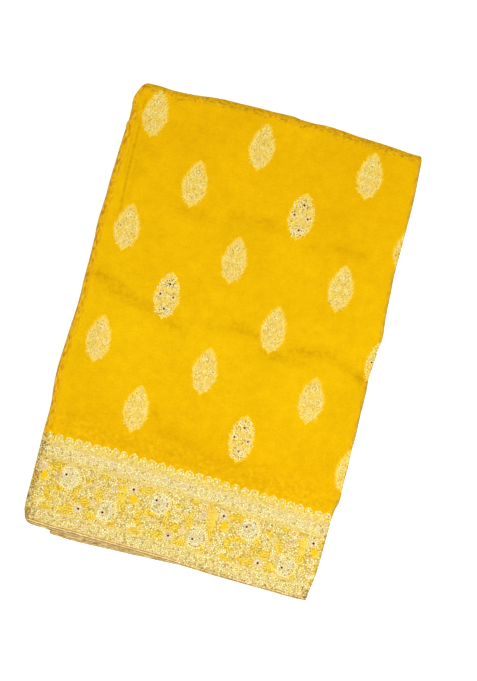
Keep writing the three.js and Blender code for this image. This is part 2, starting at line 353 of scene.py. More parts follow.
def face_points(face):
    """S x M positions of one face of the cloth, +1 or -1, in the outline's frame."""
    x = np.zeros((S, M))
    depth = np.zeros((S, M))
    for m in range(M):
        k = M_LAYER[m]
        left_in, right_in = INSETS[k]
        if not M_TURN[m]:
            a = ST_LEFT + left_in + (0 if k == 0 else REACH)
            b = ST_RIGHT - right_in - (0 if k == PLIES - 1 else REACH)
            x[:, m] = a + (b - a) * M_U[m]
            depth[:, m] = PITCH * (k + 0.5) + (face if M_OUT[m] else -face) * PLY / 2
        else:
            right = M_OUT[m]
            sign = 1 if right else -1
            inset = fold_inset(k, "right" if right else "left")
            centre = (ST_RIGHT if right else ST_LEFT) - sign * (inset + REACH)
            radius = PITCH / 2 - sign * face * PLY / 2
            x[:, m] = centre + sign * radius * math.cos(M_ANGLE[m])
            depth[:, m] = PITCH * (k + 1) + radius * math.sin(M_ANGLE[m])
    outer = M_LAYER + M_TURN
    mix_out = np.where(M_TURN, 0.5 + np.sin(M_ANGLE) / 2, 0)
    end = np.zeros((S, M))
    for m in range(M):
        k = M_LAYER[m]
        for upper in (False, True):
            rows = ST_UP == upper
            e = ply_end(k, x[rows, m], upper)
            if M_TURN[m]:
                e = e * (1 - mix_out[m]) + ply_end(k + 1, x[rows, m], upper) * mix_out[m]
            end[rows, m] = e
    fold = fold_y(x)
    share, turn = ST_SHARE[:, None], ST_TURN[:, None]
    rise = np.sin(turn)
    top_ply = (M_LAYER == PLIES - 1)[None, :]
    # sides of the stack, in shares of its width
    width = (ST_RIGHT - ST_LEFT)[:, None]
    u = np.clip((x - ST_LEFT[:, None]) / width, 0, 1)
    # slack under the outermost ply, which fades out towards the sides and the selvedge
    inner = ease((u - 0.012) / 0.05) * ease((0.99 - u) / 0.05)
    inner = inner * (1 - ease((share - 0.955) / 0.035))
    slack = np.where(top_ply, 0.0, AIR * inner * depth / HALF)
    ripple = 1 + (0.030 * noise2(x, turn * 9, 13, 6, 31) + 0.012 * noise2(x, turn * 9, 7, 4, 32)) * np.cos(turn) ** 2
    y0 = fold + (end - fold) * share
    y = y0 + (depth - slack) * np.cos(turn) * ripple
    swell = table(SWELL, y0) + 0.004 * noise2(x, y0, 60, 45, 12)
    droop = -0.085 * ease((0.022 - u) / 0.022) - 0.05 * ease((u - 0.982) / 0.018)
    upper = (0.5 + 0.5 * rise) ** 1.0
    wob = 0.045 * np.where(top_ply, 0, 1) * noise2(x + 71 * M_LAYER[None, :], y0, 38, 26, 47)
    dip = trough(x, y0, TROUGHS) * depth / HALF
    dip = dip + np.where(top_ply, trough(x, y0, LONG_CREASES), 0)
    ramp = np.where(top_ply, ease((0.1 - u) / 0.065), np.clip((0.1 - u) / 0.065, 0, 1))
    ramp = np.where((M_LAYER < SHORT_PLIES)[None, :], 0, ramp)
    z_up = HALF + (depth - slack) * rise * (1 + swell + droop) + wob - dip * ease(rise * 1.2) - SIDE_DROP * ramp * upper
    low_scale = (HALF - LOWER_LIFT) / HALF
    z_low = HALF + (depth - slack * 0.6) * rise * (1 - (1 - low_scale) * -rise) - SIDE_DROP * ramp * upper
    z = np.where(rise > 0, z_up, z_low)
    return np.stack([x, y, z], -1), y0


OUTER, Y0_OUTER = face_points(+1)
INNER, _ = face_points(-1)

# ---- the outermost ply's outer face as a grid to lay thread work on
FIRST_FINE = int(np.argmax(M_LAYER == PLIES - 1))
while M_TURN[FIRST_FINE]:
    FIRST_FINE += 1
FACE = OUTER[:, FIRST_FINE:]
_ds = np.gradient(FACE, axis=0)
_du = np.gradient(FACE, axis=1)
FACE_N = np.cross(_du, _ds)
FACE_N /= np.maximum(np.linalg.norm(FACE_N, axis=2, keepdims=True), 1e-9)
if FACE_N[UPPER_START + 20, 40, 2] < 0:
    FACE_N = -FACE_N
FACE_LEFT = ST_LEFT + INSETS[PLIES - 1][0] + REACH
FACE_RIGHT = ST_RIGHT - INSETS[PLIES - 1][1]


def station_of(a, b):
    """Station (as a float) of cloth point a, b: b runs up the face, over the cross fold and back below."""
    fold = fold_y(a)
    up = np.interp((fold - b) / (fold - hem_y(a)), ALONG_UP, UPPER_START + np.arange(len(ALONG_UP)))
    angle = (b - fold) / HALF
    arc = UPPER_START - angle / np.pi * ARC
    back = (angle - np.pi) * HALF / (fold - ply_end(PLIES - 1, a, False))
    low = np.interp(back, ALONG_LOW, len(ALONG_LOW) - 1 - np.arange(len(ALONG_LOW)))
    return np.where(b <= fold, up, np.where(angle < np.pi, arc, low))


def lay(a, b, h):
    """Places cloth points a, b at height h on the outermost face. Also says which of them are on it."""
    a, b, h = (np.asarray(v, float) for v in (a, b, h))
    c = np.clip(station_of(a, b), 0, S - 1.000001)
    left = np.interp(c, np.arange(S), FACE_LEFT)
    right = np.interp(c, np.arange(S), FACE_RIGHT)
    u = (a - left) / (right - left)
    on = (u > -0.0005) & (u < 1.0005)
    g = np.clip(np.interp(u, U_FINE, np.arange(len(U_FINE))), 0, len(U_FINE) - 1.000001)
    i, j = c.astype(int), g.astype(int)
    f, t = (c - i)[:, None], (g - j)[:, None]

    def blend(field):
        return (field[i, j] * (1 - t) + field[i, j + 1] * t) * (1 - f) + (field[i + 1, j] * (1 - t) + field[i + 1, j + 1] * t) * f

    return blend(FACE) + blend(FACE_N) * h[:, None], on


B_TOP = NEAR                                    # nominal end of the face
B_ALL = NEAR + math.pi * HALF + (NEAR - FAR)    # nominal far selvedge

# ------------------------------------------------------------------ writing meshes


def to_frame(points):
    out = np.asarray(points, float).copy()
    out[:, 0] -= CENTRE[0]
    out[:, 1] -= CENTRE[1]
    return out * MM


def new_mesh(name, verts, faces, smooth_angle=None):
    """faces is an (n, 3) or (n, 4) array."""
    me = bpy.data.meshes.new(name)
    n, k = faces.shape
    me.vertices.add(len(verts))
    me.vertices.foreach_set("co", to_frame(verts).astype(np.float32).ravel())
    me.loops.add(n * k)
    me.loops.foreach_set("vertex_index", faces.astype(np.int32).ravel())
    me.polygons.add(n)
    me.polygons.foreach_set("loop_start", (np.arange(n) * k).astype(np.int32))
    me.polygons.foreach_set("use_smooth", np.ones(n, bool))
    me.update(calc_edges=True)
    me.validate()
    if smooth_angle is not None:
        me.set_sharp_from_angle(angle=math.radians(smooth_angle))
    ob = bpy.data.objects.new(name, me)
    bpy.context.scene.collection.objects.link(ob)
    return ob


def linear(rgb):
    c = np.asarray(rgb, float) / 255
    return np.where(c <= 0.04045, c / 12.92, ((c + 0.055) / 1.055) ** 2.4)


# ------------------------------------------------------------------ the cloth
BORDER = 114.2          # height of the woven border, to the middle of its scallops
REPEAT = 116.0
EYE = -22.9             # along the border, the middle of one upper eye flower
# Where the border's ground runs gold: along from an upper eye flower, down from the scallops, half
# sizes, turn, strength
GILT = (
    (67.0, 43.5, 13.0, 4.8, -1.13, 1.0), (71.0, 60.0, 4.6, 9.0, 0.0, 0.95), (85.2, 52.5, 5.2, 6.6, 0.0, 1.0),
    (98.0, 37.8, 10.5, 4.8, 0.25, 0.95), (43.5, 34.8, 5.4, 3.6, 0.0, 0.85), (41.0, 59.0, 4.0, 8.0, 0.15, 0.9),
    (13.5, 62.5, 3.8, 9.5, -0.1, 1.0), (26.0, 71.8, 7.6, 5.0, 0.4, 1.0), (37.5, 87.0, 6.4, 5.4, 0.0, 1.0),
    (6.0, 86.0, 7.4, 5.6, 0.3, 0.9), (96.5, 89.6, 8.6, 3.6, 0.0, 1.0), (106.0, 64.0, 8.0, 3.8, 0.1, 0.85),
    (94.0, 72.0, 4.0, 7.5, 0.0, 0.9), (99.0, 80.0, 5.4, 3.8, -0.5, 0.8), (64.0, 88.5, 5.6, 4.4, 0.2, 0.7),
    (112.5, 54.0, 3.6, 6.5, 0.2, 0.7), (24.0, 46.0, 4.6, 5.0, 0.0, 0.6), (77.0, 77.0, 4.0, 5.0, 0.0, 0.5),
)


def gilt(p, d):
    """How golden the border's ground is, from 0 to 1, at p along it and d down from its scallops."""
    rel = np.mod(p - EYE, REPEAT)
    out = np.zeros(np.broadcast(p, d).shape)
    for gp, gd, rx, ry, turn, much in GILT:
        for wrap in (-REPEAT, 0, REPEAT):
            x, y = rel - gp + wrap, gd - d
            x, y = x * math.cos(turn) + y * math.sin(turn), y * math.cos(turn) - x * math.sin(turn)
            out = np.maximum(out, much * ease((1.5 - np.hypot(x / rx, y / ry)) / 0.9))
    inside = ease((d - 31) / 3) * ease((93 - d) / 2)
    return np.clip(out + 0.25 * noise2(p, d, 5, 5, 321), 0, 1) * inside


def border_edge(a):
    """y of the border's scalloped edge: the weave lies a little askew of the fold."""
    return -166.05 - 0.01768 * a - 7.7e-5 * a * a + 0.5 * noise1(a, 42, 55)


def weave_v(a, b):
    """Distance from the selvedge in the border's own scale, along the cloth's width."""
    near = (b - hem_y(a)) / (border_edge(a) - hem_y(a)) * BORDER
    beyond = BORDER + (b - border_edge(a))
    return np.where(near < BORDER, near, beyond)


def make_cloth():
    verts = np.concatenate([OUTER.reshape(-1, 3), INNER.reshape(-1, 3)])
    off = S * M
    # hidden plies need fewer stations than the outermost one
    arc0, arc1 = len(ALONG_LOW), UPPER_START
    sub = np.unique(np.concatenate([
        np.arange(0, arc0, 2), [arc0 - 1], np.arange(arc0, arc1, 2), np.arange(arc1, S, 4), [S - 2, S - 4, S - 1]]))

    def quads(st, mk):
        """Triangles between stations st and marks mk."""
        i, j = np.meshgrid(np.arange(len(st) - 1), np.arange(len(mk) - 1), indexing="ij")
        a = (st[i] * M + mk[j]).ravel()
        b = (st[i] * M + mk[j + 1]).ravel()
        c = (st[i + 1] * M + mk[j + 1]).ravel()
        d = (st[i + 1] * M + mk[j]).ravel()
        return np.concatenate([np.stack([a, b, c], 1), np.stack([a, c, d], 1)])

    parts = [quads(sub, np.arange(FIRST_FINE)), quads(np.arange(S), np.arange(FIRST_FINE, M))]
    seam = []
    for lo, hi in zip(sub[:-1], sub[1:]):
        mid = (lo + hi + 1) // 2
        left_lo, left_hi = lo * M + FIRST_FINE - 1, hi * M + FIRST_FINE - 1
        for st in range(lo, hi):
            seam.append((left_lo if st < mid else left_hi, st * M + FIRST_FINE, (st + 1) * M + FIRST_FINE))
        seam.append((left_lo, mid * M + FIRST_FINE, left_hi))
    parts.append(np.array(seam))
    face_out = np.concatenate(parts)
    face_in = face_out[:, ::-1] + off

    def rim(line, turn_over):
        p, q = line[:-1], line[1:]
        f = np.concatenate([np.stack([p, q, q + off], 1), np.stack([p, q + off, p + off], 1)])
        return f[:, ::-1] if turn_over else f

    ends = np.concatenate([
        rim(sub * M, False), rim(np.arange(S) * M + M - 1, True),
        rim(np.arange(M), True), rim(np.arange(M) + (S - 1) * M, False)])
    faces = np.concatenate([face_out, face_in, ends])
    p = verts[faces]
    volume = np.einsum("ij,ij->i", p[:, 0], np.cross(p[:, 1], p[:, 2])).sum()
    if volume < 0:
        faces = faces[:, ::-1].copy()
    used, flat = np.unique(faces.ravel(), return_inverse=True)
    faces = flat.reshape(-1, 3)
    verts = verts[used]
    ob = new_mesh("sari_sheet", verts, faces, 50)
    me = ob.data

    # cloth coordinates of each vertex: along the sari, and from the selvedge, both in metres
    idx = used % off
    st, mk = idx // M, idx % M
    x = verts[:, 0]
    y0 = Y0_OUTER.ravel()[idx]
    layer, turn = M_LAYER[mk], ST_TURN[st]
    fold = fold_y(x)
    b = np.where(turn > 1.57, y0, np.where(turn > -1.57, fold + (np.pi / 2 - turn) * HALF, 2 * fold + np.pi * HALF - y0))
    shift = np.zeros(len(used))
    for k in range(PLIES):
        for upper in (False, True):
            rows = (layer == k) & ((turn > 0) == upper)
            shift[rows] = ply_end(k, x[rows], upper) - hem_y(x[rows])
    v_up = weave_v(x, y0 - shift)
    v = np.where(turn > 1.57, v_up, np.where(turn > -1.57, weave_v(x, fold) + (np.pi / 2 - turn) * HALF, 1150.0 - v_up))
    a = np.where(layer % 2 == 0, x, -x) + 377.0 * (PLIES - 1 - layer)
    loops = faces.ravel()
    uv = me.uv_layers.new(name="Weave")
    uv.data.foreach_set("uv", (np.stack([a, v], 1)[loops] * MM).astype(np.float32).ravel())

    # a flat layout of the finished colours: the face, the underside, then narrow strips
    n_out, n_in = len(face_out), len(face_in)
    kind = np.concatenate([np.zeros(n_out, int), np.ones(n_in, int), np.full(len(ends), 2)])
    mid = len(ALONG_LOW) - 1 + ARC // 2
    shown = (kind == 0) & (mk[faces].min(1) >= FIRST_FINE)
    up_part = shown & (st[faces].min(1) >= mid)
    low_part = shown & ~up_part
    lx = (x + 195) / 390
    b_low = b - fold - np.pi * HALF / 2
    lay_up = np.stack([0.005 + 0.64 * lx, 0.995 - 0.99 * np.clip((crest_y(x) - b + 12) / 590, 0, 1)], 1)
    lay_low = np.stack([0.66 + 0.2 * lx, 0.995 - 0.99 * np.clip((b_low + 10) / 600, 0, 1)], 1)
    lay_out = np.stack([0.87 + 0.06 * mk / M, 0.005 + 0.99 * st / (S - 1)], 1)
    lay_in = np.stack([0.934 + 0.056 * mk / M, 0.005 + 0.99 * st / (S - 1)], 1)
    lay_end = np.stack([0.9925 + 0.004 * (used >= off) + 0.001 * mk / M, 0.005 + 0.99 * st / (S - 1)], 1)
    bake = lay_out[faces]
    for rows, lay_map in ((kind == 1, lay_in), (kind == 2, lay_end), (up_part, lay_up), (low_part, lay_low)):
        bake[rows] = lay_map[faces[rows]]
    uv = me.uv_layers.new(name="OFBake")
    uv.data.foreach_set("uv", bake.reshape(-1, 2).astype(np.float32).ravel())
    me.uv_layers.active = me.uv_layers["Weave"]

    # soft painted shade and light over the folds, the cross fold's crest, the outline's rims and the creases; the gold
    # of the border's ground; the plies that show through
    left = np.interp(np.arange(S), np.arange(S), ST_LEFT)[st]
    right = ST_RIGHT[st]
    y = verts[:, 1]
    top = ((mk >= FIRST_FINE - TURN) & (turn > -0.3)).astype(float)
    d_side = np.minimum(x - left, right - x)
    d_end = np.where(turn > 1.57, y - hem_y(x), 99.0)
    d_crest = crest_y(x) - y
    edge = np.maximum(ease((left + 11.5 - x) / 9.0), ease((x - right + 6.5) / 6.0) * 0.75)
    crest = ease((19.0 - d_crest) / 16.0)
    flat_top = ((turn > 1.57) & (layer == PLIES - 1)).astype(float)
    # painted shade in the troughs and creases, and the darker show-through of the plies below
    painted_crease_shade = trough(x, b, PAINTED_SHADE_PATCHES) + trough(x, b, LONG_CREASE_SHADE)
    under = ease((v - 112) / 5) * ease((158 - v) / 30)
    shade = {
        "gilt": np.where(flat_top > 0, gilt(x, BORDER - v), 0.0),
        "face": flat_top,
        # painted shade: a dark rim along the outline and the crest
        "rim": np.maximum(
            np.exp(-((np.clip(np.minimum(d_side, d_end), 0, None) / 1.7) ** 2)) * top,
            np.exp(-((np.clip(d_crest, 0, None) / 1.7) ** 2)) * top * ease((turn - 0.08) / 0.22)),
        # painted light and shade of the rounded side folds
        "fold_edge": edge * top,
        # painted shade over the cross fold's crest
        "crest": crest * np.where(mk >= FIRST_FINE - TURN, ease((turn + 0.75) / 0.6), 0.0),
        "crease_shade": painted_crease_shade * flat_top,
        "under": under * flat_top,
    }
    for name, values in shade.items():
        at = me.attributes.new(name, "FLOAT", "POINT")
        at.data.foreach_set("value", values.astype(np.float32))
    print("sari_sheet", len(faces), "triangles")
    return ob


cloth = make_cloth()

# ------------------------------------------------------------------ thread work
TONES = {k: linear(c) for k, c in {
    "white": (255, 250, 198), "cream": (255, 240, 172), "pale": (250, 226, 138),
    "gold": (243, 210, 104), "deep": (232, 190, 78), "dull": (204, 172, 80),
    "silver": (232, 230, 204), "rose": (248, 216, 170), "lilac": (238, 218, 206),
    "orange": (250, 186, 40), "amber": (243, 172, 48), "shade": (150, 118, 66),
    "olive": (184, 162, 84), "maroon": (50, 16, 2), "yellow": (246, 199, 22),
    "bright": (255, 252, 216), "green": (228, 222, 134), "brown": (132, 98, 50),
    "lemon": (255, 238, 148), "beige": (222, 192, 140), "khaki": (200, 178, 112),
    "honey": (252, 228, 96), "flame": (252, 196, 52), "butter": (255, 242, 168),
}.items()}


class Threads:
    """Collects stitches, beads, cords and filled shapes as flat shapes on the cloth, then lays them on it."""

    def __init__(self, seed):
        self.rng = np.random.default_rng(seed)
        self.v, self.f, self.c, self.n = [], [], [], 0

    def add(self, verts, faces, colours):
        self.v.append(verts)
        self.f.append(faces + self.n)
        self.c.append(colours)
        self.n += len(verts)

    def tint(self, tone, n, spread=0.07):
        base = TONES[tone] if isinstance(tone, str) else tone
        base = np.broadcast_to(base, (n, 3))
        k = 1 + self.rng.uniform(-spread, spread, (n, 1))
        warm = self.rng.uniform(-spread, spread, (n, 1)) * np.array([[0.1, 0.25, 1.0]])
        return np.clip(base * k * (1 + warm), 0.003, 1)

    def stitches(self, a, b, angle, length, width, height, tone, base=0.05, spread=0.08):
        a, b = np.atleast_1d(a).astype(float), np.atleast_1d(b).astype(float)
        n = len(a)
        if not n:
            return
        angle, length, width, height = (np.broadcast_to(np.asarray(v, float), n) for v in (angle, length, width, height))
        ca, sa = np.cos(angle), np.sin(angle)
        v = np.zeros((n, 8, 3))
        for i, (l, w, h) in enumerate(((-0.5, 0, 0), (-0.27, -0.5, 0), (0.15, -0.42, 0), (0.5, 0, 0), (0.15, 0.42, 0), (-0.27, 0.5, 0), (-0.24, 0, 1), (0.14, 0, 1))):
            v[:, i, 0] = a + ca * length * l - sa * width * w
            v[:, i, 1] = b + sa * length * l + ca * width * w
            v[:, i, 2] = base + height * h
        f = np.array([[0, 1, 6], [1, 2, 7], [1, 7, 6], [2, 3, 7], [3, 4, 7], [4, 5, 6], [4, 6, 7], [5, 0, 6]])
        faces = (np.arange(n)[:, None, None] * 8 + f[None]).reshape(-1, 3)
        col = np.repeat(self.tint(tone, n, spread)[:, None], 8, 1)
        # painted shade: the foot of each stitch is darker and yellower than its ridge
        col[:, :6] *= (0.95, 0.88, 0.74)
        self.add(v.reshape(-1, 3), faces, col.reshape(-1, 3))

    def beads(self, a, b, radius, height, tone, base=0.05, sides=7, spread=0.05):
        a, b = np.atleast_1d(a).astype(float), np.atleast_1d(b).astype(float)
        n = len(a)
        if not n:
            return
        radius, height = (np.broadcast_to(np.asarray(v, float), n) for v in (radius, height))
        v = np.zeros((n, sides + 1, 3))
        start = self.rng.uniform(0, np.pi, n)
        for i in range(sides):
            t = start + 2 * np.pi * i / sides
            v[:, i, 0] = a + radius * np.cos(t)
            v[:, i, 1] = b + radius * np.sin(t)
            v[:, i, 2] = base
        v[:, sides, 0], v[:, sides, 1], v[:, sides, 2] = a, b, base + height
        f = np.array([[i, (i + 1) % sides, sides] for i in range(sides)])
        faces = (np.arange(n)[:, None, None] * (sides + 1) + f[None]).reshape(-1, 3)
        col = np.repeat(self.tint(tone, n, spread)[:, None], sides + 1, 1)
        # painted shade: the foot of each bead is darker and yellower than its top
        col[:, :sides] *= (0.95, 0.90, 0.78)
        self.add(v.reshape(-1, 3), faces, col.reshape(-1, 3))

    def cord(self, a, b, width, height, tone, base=0.04, spread=0.06):
        """A raised line through the points."""
        a, b = np.asarray(a, float), np.asarray(b, float)
        n = len(a)
        da, db = np.gradient(a), np.gradient(b)
        k = np.hypot(da, db) + 1e-9
        na, nb = -db / k, da / k
        width = np.broadcast_to(np.asarray(width, float), n) / 2
        v = np.zeros((n, 3, 3))
        for i, (w, h) in enumerate([(-1, 0), (0, 1), (1, 0)]):
            v[:, i, 0] = a + na * width * w
            v[:, i, 1] = b + nb * width * w
            v[:, i, 2] = base + height * h
        i = np.arange(n - 1)[:, None]
        f = []
        for j in (0, 1):
            f.append(np.concatenate([i * 3 + j, (i + 1) * 3 + j + 1, (i + 1) * 3 + j], 1))
            f.append(np.concatenate([i * 3 + j, i * 3 + j + 1, (i + 1) * 3 + j + 1], 1))
        col = np.repeat(self.tint(tone, n, spread)[:, None], 3, 1)
        self.add(v.reshape(-1, 3), np.concatenate(f), col.reshape(-1, 3))

    def fill(self, a, b, ca, cb, tone, base=0.09, rings=3, rise=0.06, spread=0.03, rim=None):
        """A filled shape whose outline runs anticlockwise through a, b round ca, cb."""
        a, b = np.asarray(a, float), np.asarray(b, float)
        n = len(a)
        v = [np.array([[ca, cb, base + rise]])]
        for r in range(1, rings + 1):
            t = r / rings
            v.append(np.stack([ca + (a - ca) * t, cb + (b - cb) * t, np.full(n, base + rise * (1 - t * t))], 1))
        v = np.concatenate(v)
        f = []
        i = np.arange(n)
        j = (i + 1) % n
        f.append(np.stack([np.zeros(n, int), 1 + i, 1 + j], 1))
        for r in range(1, rings):
            p, q = 1 + (r - 1) * n, 1 + r * n
            f.append(np.stack([p + i, q + i, q + j], 1))
            f.append(np.stack([p + i, q + j, p + j], 1))
        col = self.tint(tone, len(v), spread)
        if rim is not None:
            col[-n:] = self.tint(rim, n, spread)
        self.add(v, np.concatenate(f), col)

    def ground(self, a, b, h, colours):
        """A filled shape given row by row."""
        rows, cols = a.shape
        k = np.arange(rows * cols).reshape(rows, cols)
        p, q, r, t = k[:-1, :-1].ravel(), k[:-1, 1:].ravel(), k[1:, 1:].ravel(), k[1:, :-1].ravel()
        faces = np.concatenate([np.stack([p, q, r], 1), np.stack([p, r, t], 1)])
        self.add(np.stack([a.ravel(), b.ravel(), h.ravel()], 1), faces, colours.reshape(-1, 3))

    def finish(self, name, b_range):
        v, f, c = np.concatenate(self.v), np.concatenate(self.f), np.concatenate(self.c)
        place, on = lay(v[:, 0], v[:, 1], v[:, 2])
        # drop what runs off the cloth
        face_on = on[f].all(1)
        f = f[face_on]
        used = np.unique(f)
        remap = np.full(len(v), -1)
        remap[used] = np.arange(len(used))
        f = remap[f]
        v, c, place = v[used], c[used], place[used]
        # faces look outwards
        p = place[f]
        n = np.cross(p[:, 1] - p[:, 0], p[:, 2] - p[:, 0])
        up = lay(v[f[:, 0], 0], v[f[:, 0], 1], np.ones(len(f)))[0] - lay(v[f[:, 0], 0], v[f[:, 0], 1], np.zeros(len(f)))[0]
        flip = np.einsum("ij,ij->i", n, up) < 0
        f[flip] = f[flip][:, ::-1]
        # the rounded left end lies in the fold's own shade
        shade = 1 - 0.16 * ease((-172 - v[:, 0]) / 9)
        c = c * shade[:, None]
        ob = new_mesh(name, place, f)
        me = ob.data
        col = me.color_attributes.new("thread", "FLOAT_COLOR", "POINT")
        col.data.foreach_set("color", np.concatenate([c, np.ones((len(c), 1))], 1).astype(np.float32).ravel())
        lo, hi = b_range
        flat = np.stack([(v[:, 0] + 195) / 390, (v[:, 1] - lo) / (hi - lo)], 1)
        loops = np.zeros(len(me.loops), np.int32)
        me.loops.foreach_get("vertex_index", loops)
        uv = me.uv_layers.new(name="OFBake")
        uv.data.foreach_set("uv", np.clip(flat, 0, 1)[loops].astype(np.float32).ravel())
        print(name, len(f), "triangles")
        return ob


# ---- the leaf motif
LEAF_T = np.array([-31, -29.7, -28.4, -27.2, -26, -24.7, -23.5, -21, -18.8, -16, -13.6, -11.1, -8.7, -5, -2.5, 0, 2.5, 6.2, 8.7, 11.1, 13.6, 16.1, 17.3, 18.5, 21, 23.5, 26, 28.4, 29.7, 31])
LEAF_W = np.array([0.5, 2.4, 4.7, 6.8, 9.0, 10.9, 12.1, 13.1, 13.5, 13.4, 14.0, 15.3, 16.1, 17.1, 17.0, 16.6, 16.1, 15.8, 15.3, 13.9, 13.1, 12.8, 12.0, 11.1, 9.9, 8.5, 6.8, 4.5, 3.0, 0.6])
SKEW_A, SKEW_B = -0.0203, -0.0198   # the weave lies slightly askew of the folds
FLORETS = ((0.0, 15.2, 5.0), (-9.0, 0.2, 4.0), (8.8, 0.0, 4.0), (0.0, -16.6, 5.2), (0.0, 0.2, 2.6))
LIGHT, MID, DARK = linear((255, 234, 138)), linear((252, 216, 104)), linear((218, 180, 82))
RIM = linear((252, 207, 40))


def leaf_half(t):
    return np.interp(t, LEAF_T, LEAF_W)


def leaf_motif(th, a0, b0, dotted, seed, flip=1):
    """One woven leaf: a toothed ground, five florets and feathered sides, tip towards +b."""
    rng = np.random.default_rng(seed)

    def put(s, t):
        s, t = np.broadcast_arrays(np.asarray(s, float), np.asarray(t, float) * flip)
        return a0 + s + SKEW_A * t, b0 + SKEW_B * s + t

    def line_angle(angle):
        return np.asarray(angle, float) * flip

    def mixed(n, *parts):
        """One colour a row out of (share, tone) parts."""
        share = np.cumsum([s for s, _ in parts])
        pick = np.searchsorted(share / share[-1], rng.random(n), side="right")
        return np.array([TONES[t] if isinstance(t, str) else t for _, t in parts])[np.clip(pick, 0, len(parts) - 1)]

    # ground, yellower to its rim
    t = np.concatenate([[-30.8, -29.2], np.linspace(-27.6, 28.0, 21), [29.5, 31.0]])
    q = np.array([-1.0, -0.84, -0.64, -0.42, -0.21, 0.0, 0.21, 0.42, 0.64, 0.84, 1.0])
    w = np.clip(leaf_half(t) - np.interp(t, [-30, -26, -21, -17, -13, -8, 20, 28], [1.2, 5.0, 6.2, 4.2, 2.2, 1.8, 1.7, 0.9]), 0.3, None)
    sg, tg = w[:, None] * q + rng.uniform(-0.25, 0.25, (len(t), 1)), np.repeat(t[:, None], len(q), 1)
    ga, gb = put(sg, tg)
    inner = np.clip((1 - np.abs(q)) * 2.2, 0, 1)[None, :, None] * np.clip((w[:, None, None] - 2) / 5, 0, 1)
    tone = th.tint(linear((239, 204, 88)), sg.size, 0.06).reshape(*sg.shape, 3) * inner + th.tint(RIM, sg.size, 0.04).reshape(*sg.shape, 3) * (1 - inner)
    th.ground(ga, gb, 0.04 + 0.03 * (1 - q ** 2) * np.ones((len(t), 1)), tone)
    # feathered sides: barbs sweep up and out, lie level near the foot and turn inwards below it
    for side in (-1, 1):
        t = -29.0 + rng.uniform(0, 1.5)
        while t < 28.5:
            climb = float(np.interp(t, [-30, -23, -18, -12, -4, 6, 15, 30], [-0.9, -0.45, 0.02, 0.45, 0.7, 0.85, 1.0, 1.3]))
            reach = leaf_half(t) + rng.uniform(-0.5, 1.9)
            foot = t < -16
            for back, width, into, tone in ((0.0, 1.2 if foot else 1.9, 0.0, linear((253, 204, 40)) if foot else linear((255, 208, 48))), (0.2, 1.0, 3.2 if foot else 2.0, LIGHT), (1.9, 1.3, 3.6 if foot else 2.2, MID)):
                length = rng.uniform(5.0, 6.6) * min(1.0, 0.35 + reach / 12) * (0.8 if back else 1.0)
                cs = max(reach - into - math.cos(climb) * length * 0.5, 0.2)
                ct = t + 0.7 - math.sin(climb) * (length * 0.5 + into) - back
                fa, fb = put(side * cs, ct)
                th.stitches(float(fa), float(fb), line_angle(climb if side > 0 else math.pi - climb), length, width * rng.uniform(0.85, 1.1), 0.16, tone, base=0.05 if not into else 0.10)
            t += rng.uniform(2.5, 3.9) if t > -15 else rng.uniform(2.9, 4.0)
        # longer spurs at the shoulders and whiskers at the foot
        for t0, climb, length, width in ((14.2, 1.24, 7.2, 1.9), (3.2, 1.02, 6.6, 1.9), (-19.0, -0.06, 5.6, 1.7), (-25.4, -0.85, 4.4, 1.5)):
            t0, climb, width = t0 + rng.uniform(-1.6, 1.6), climb + rng.uniform(-0.12, 0.12), width * rng.uniform(0.8, 1.1)
            reach = leaf_half(t0) + rng.uniform(0.3, 1.4)
            cs, ct = reach - math.cos(climb) * length * 0.5, t0 + 0.8 - math.sin(climb) * length * 0.5
            for into, wide, tone in ((0.0, width, linear((255, 210, 56))), (1.2, width * 0.45, LIGHT)):
                fa, fb = put(side * (cs - into * math.cos(climb)), ct - into * math.sin(climb))
                th.stitches(float(fa), float(fb), line_angle(climb if side > 0 else math.pi - climb), length, wide, 0.16, tone, base=0.07 if not into else 0.12)
    # rows of floats that follow the rim
    for side in (-1, 1):
        for inset, pitch, tones in ((4.6, 4.6, ((0.40, DARK), (0.60, LIGHT))),):
            t = np.arange(-22, 21, pitch) + rng.uniform(-0.8, 0.8)
            w = leaf_half(t) - inset
            t, w = t[w > 1.5], w[w > 1.5]
            fa, fb = put(side * w, t)
            slope = np.arctan2(leaf_half(t + 1) - leaf_half(t - 1), 2.0)
            th.stitches(fa, fb, line_angle(np.pi / 2 - side * (slope + 0.25)), pitch * 0.95, 1.5, 0.16, mixed(len(t), *tones), base=0.09)
    # floats inside, in loose curls
    k = 36
    t = rng.uniform(-25, 25, k)
    s = rng.uniform(-0.66, 0.66, k) * leaf_half(t)
    fa, fb = put(s, t)
    curl = 2.6 * noise2(s, t, 8, 8, 300 + seed % 50)
    th.stitches(fa, fb, curl, rng.uniform(3.4, 5.6, k), rng.uniform(1.4, 2.0, k), 0.12, mixed(k, (0.40, LIGHT), (0.18, MID), (0.20, linear((248, 208, 124))), (0.22, DARK)), base=0.09)
    # a few that run into the tip and the foot
    t = np.array([23.2, 24.6, 26.2, 27.6, -24.4, -26.4])
    s = np.array([-2.6, 2.4, -0.9, 0.8, -1.8, 1.6]) + rng.uniform(-0.5, 0.5, 6)
    fa, fb = put(s, t)
    th.stitches(fa, fb, line_angle(np.pi / 2 + np.array([-0.3, 0.3, -0.12, 0.1, 0.4, -0.4])), rng.uniform(3.6, 5.4, 6), 1.2, 0.14, mixed(6, (0.6, LIGHT), (0.4, MID)), base=0.09)
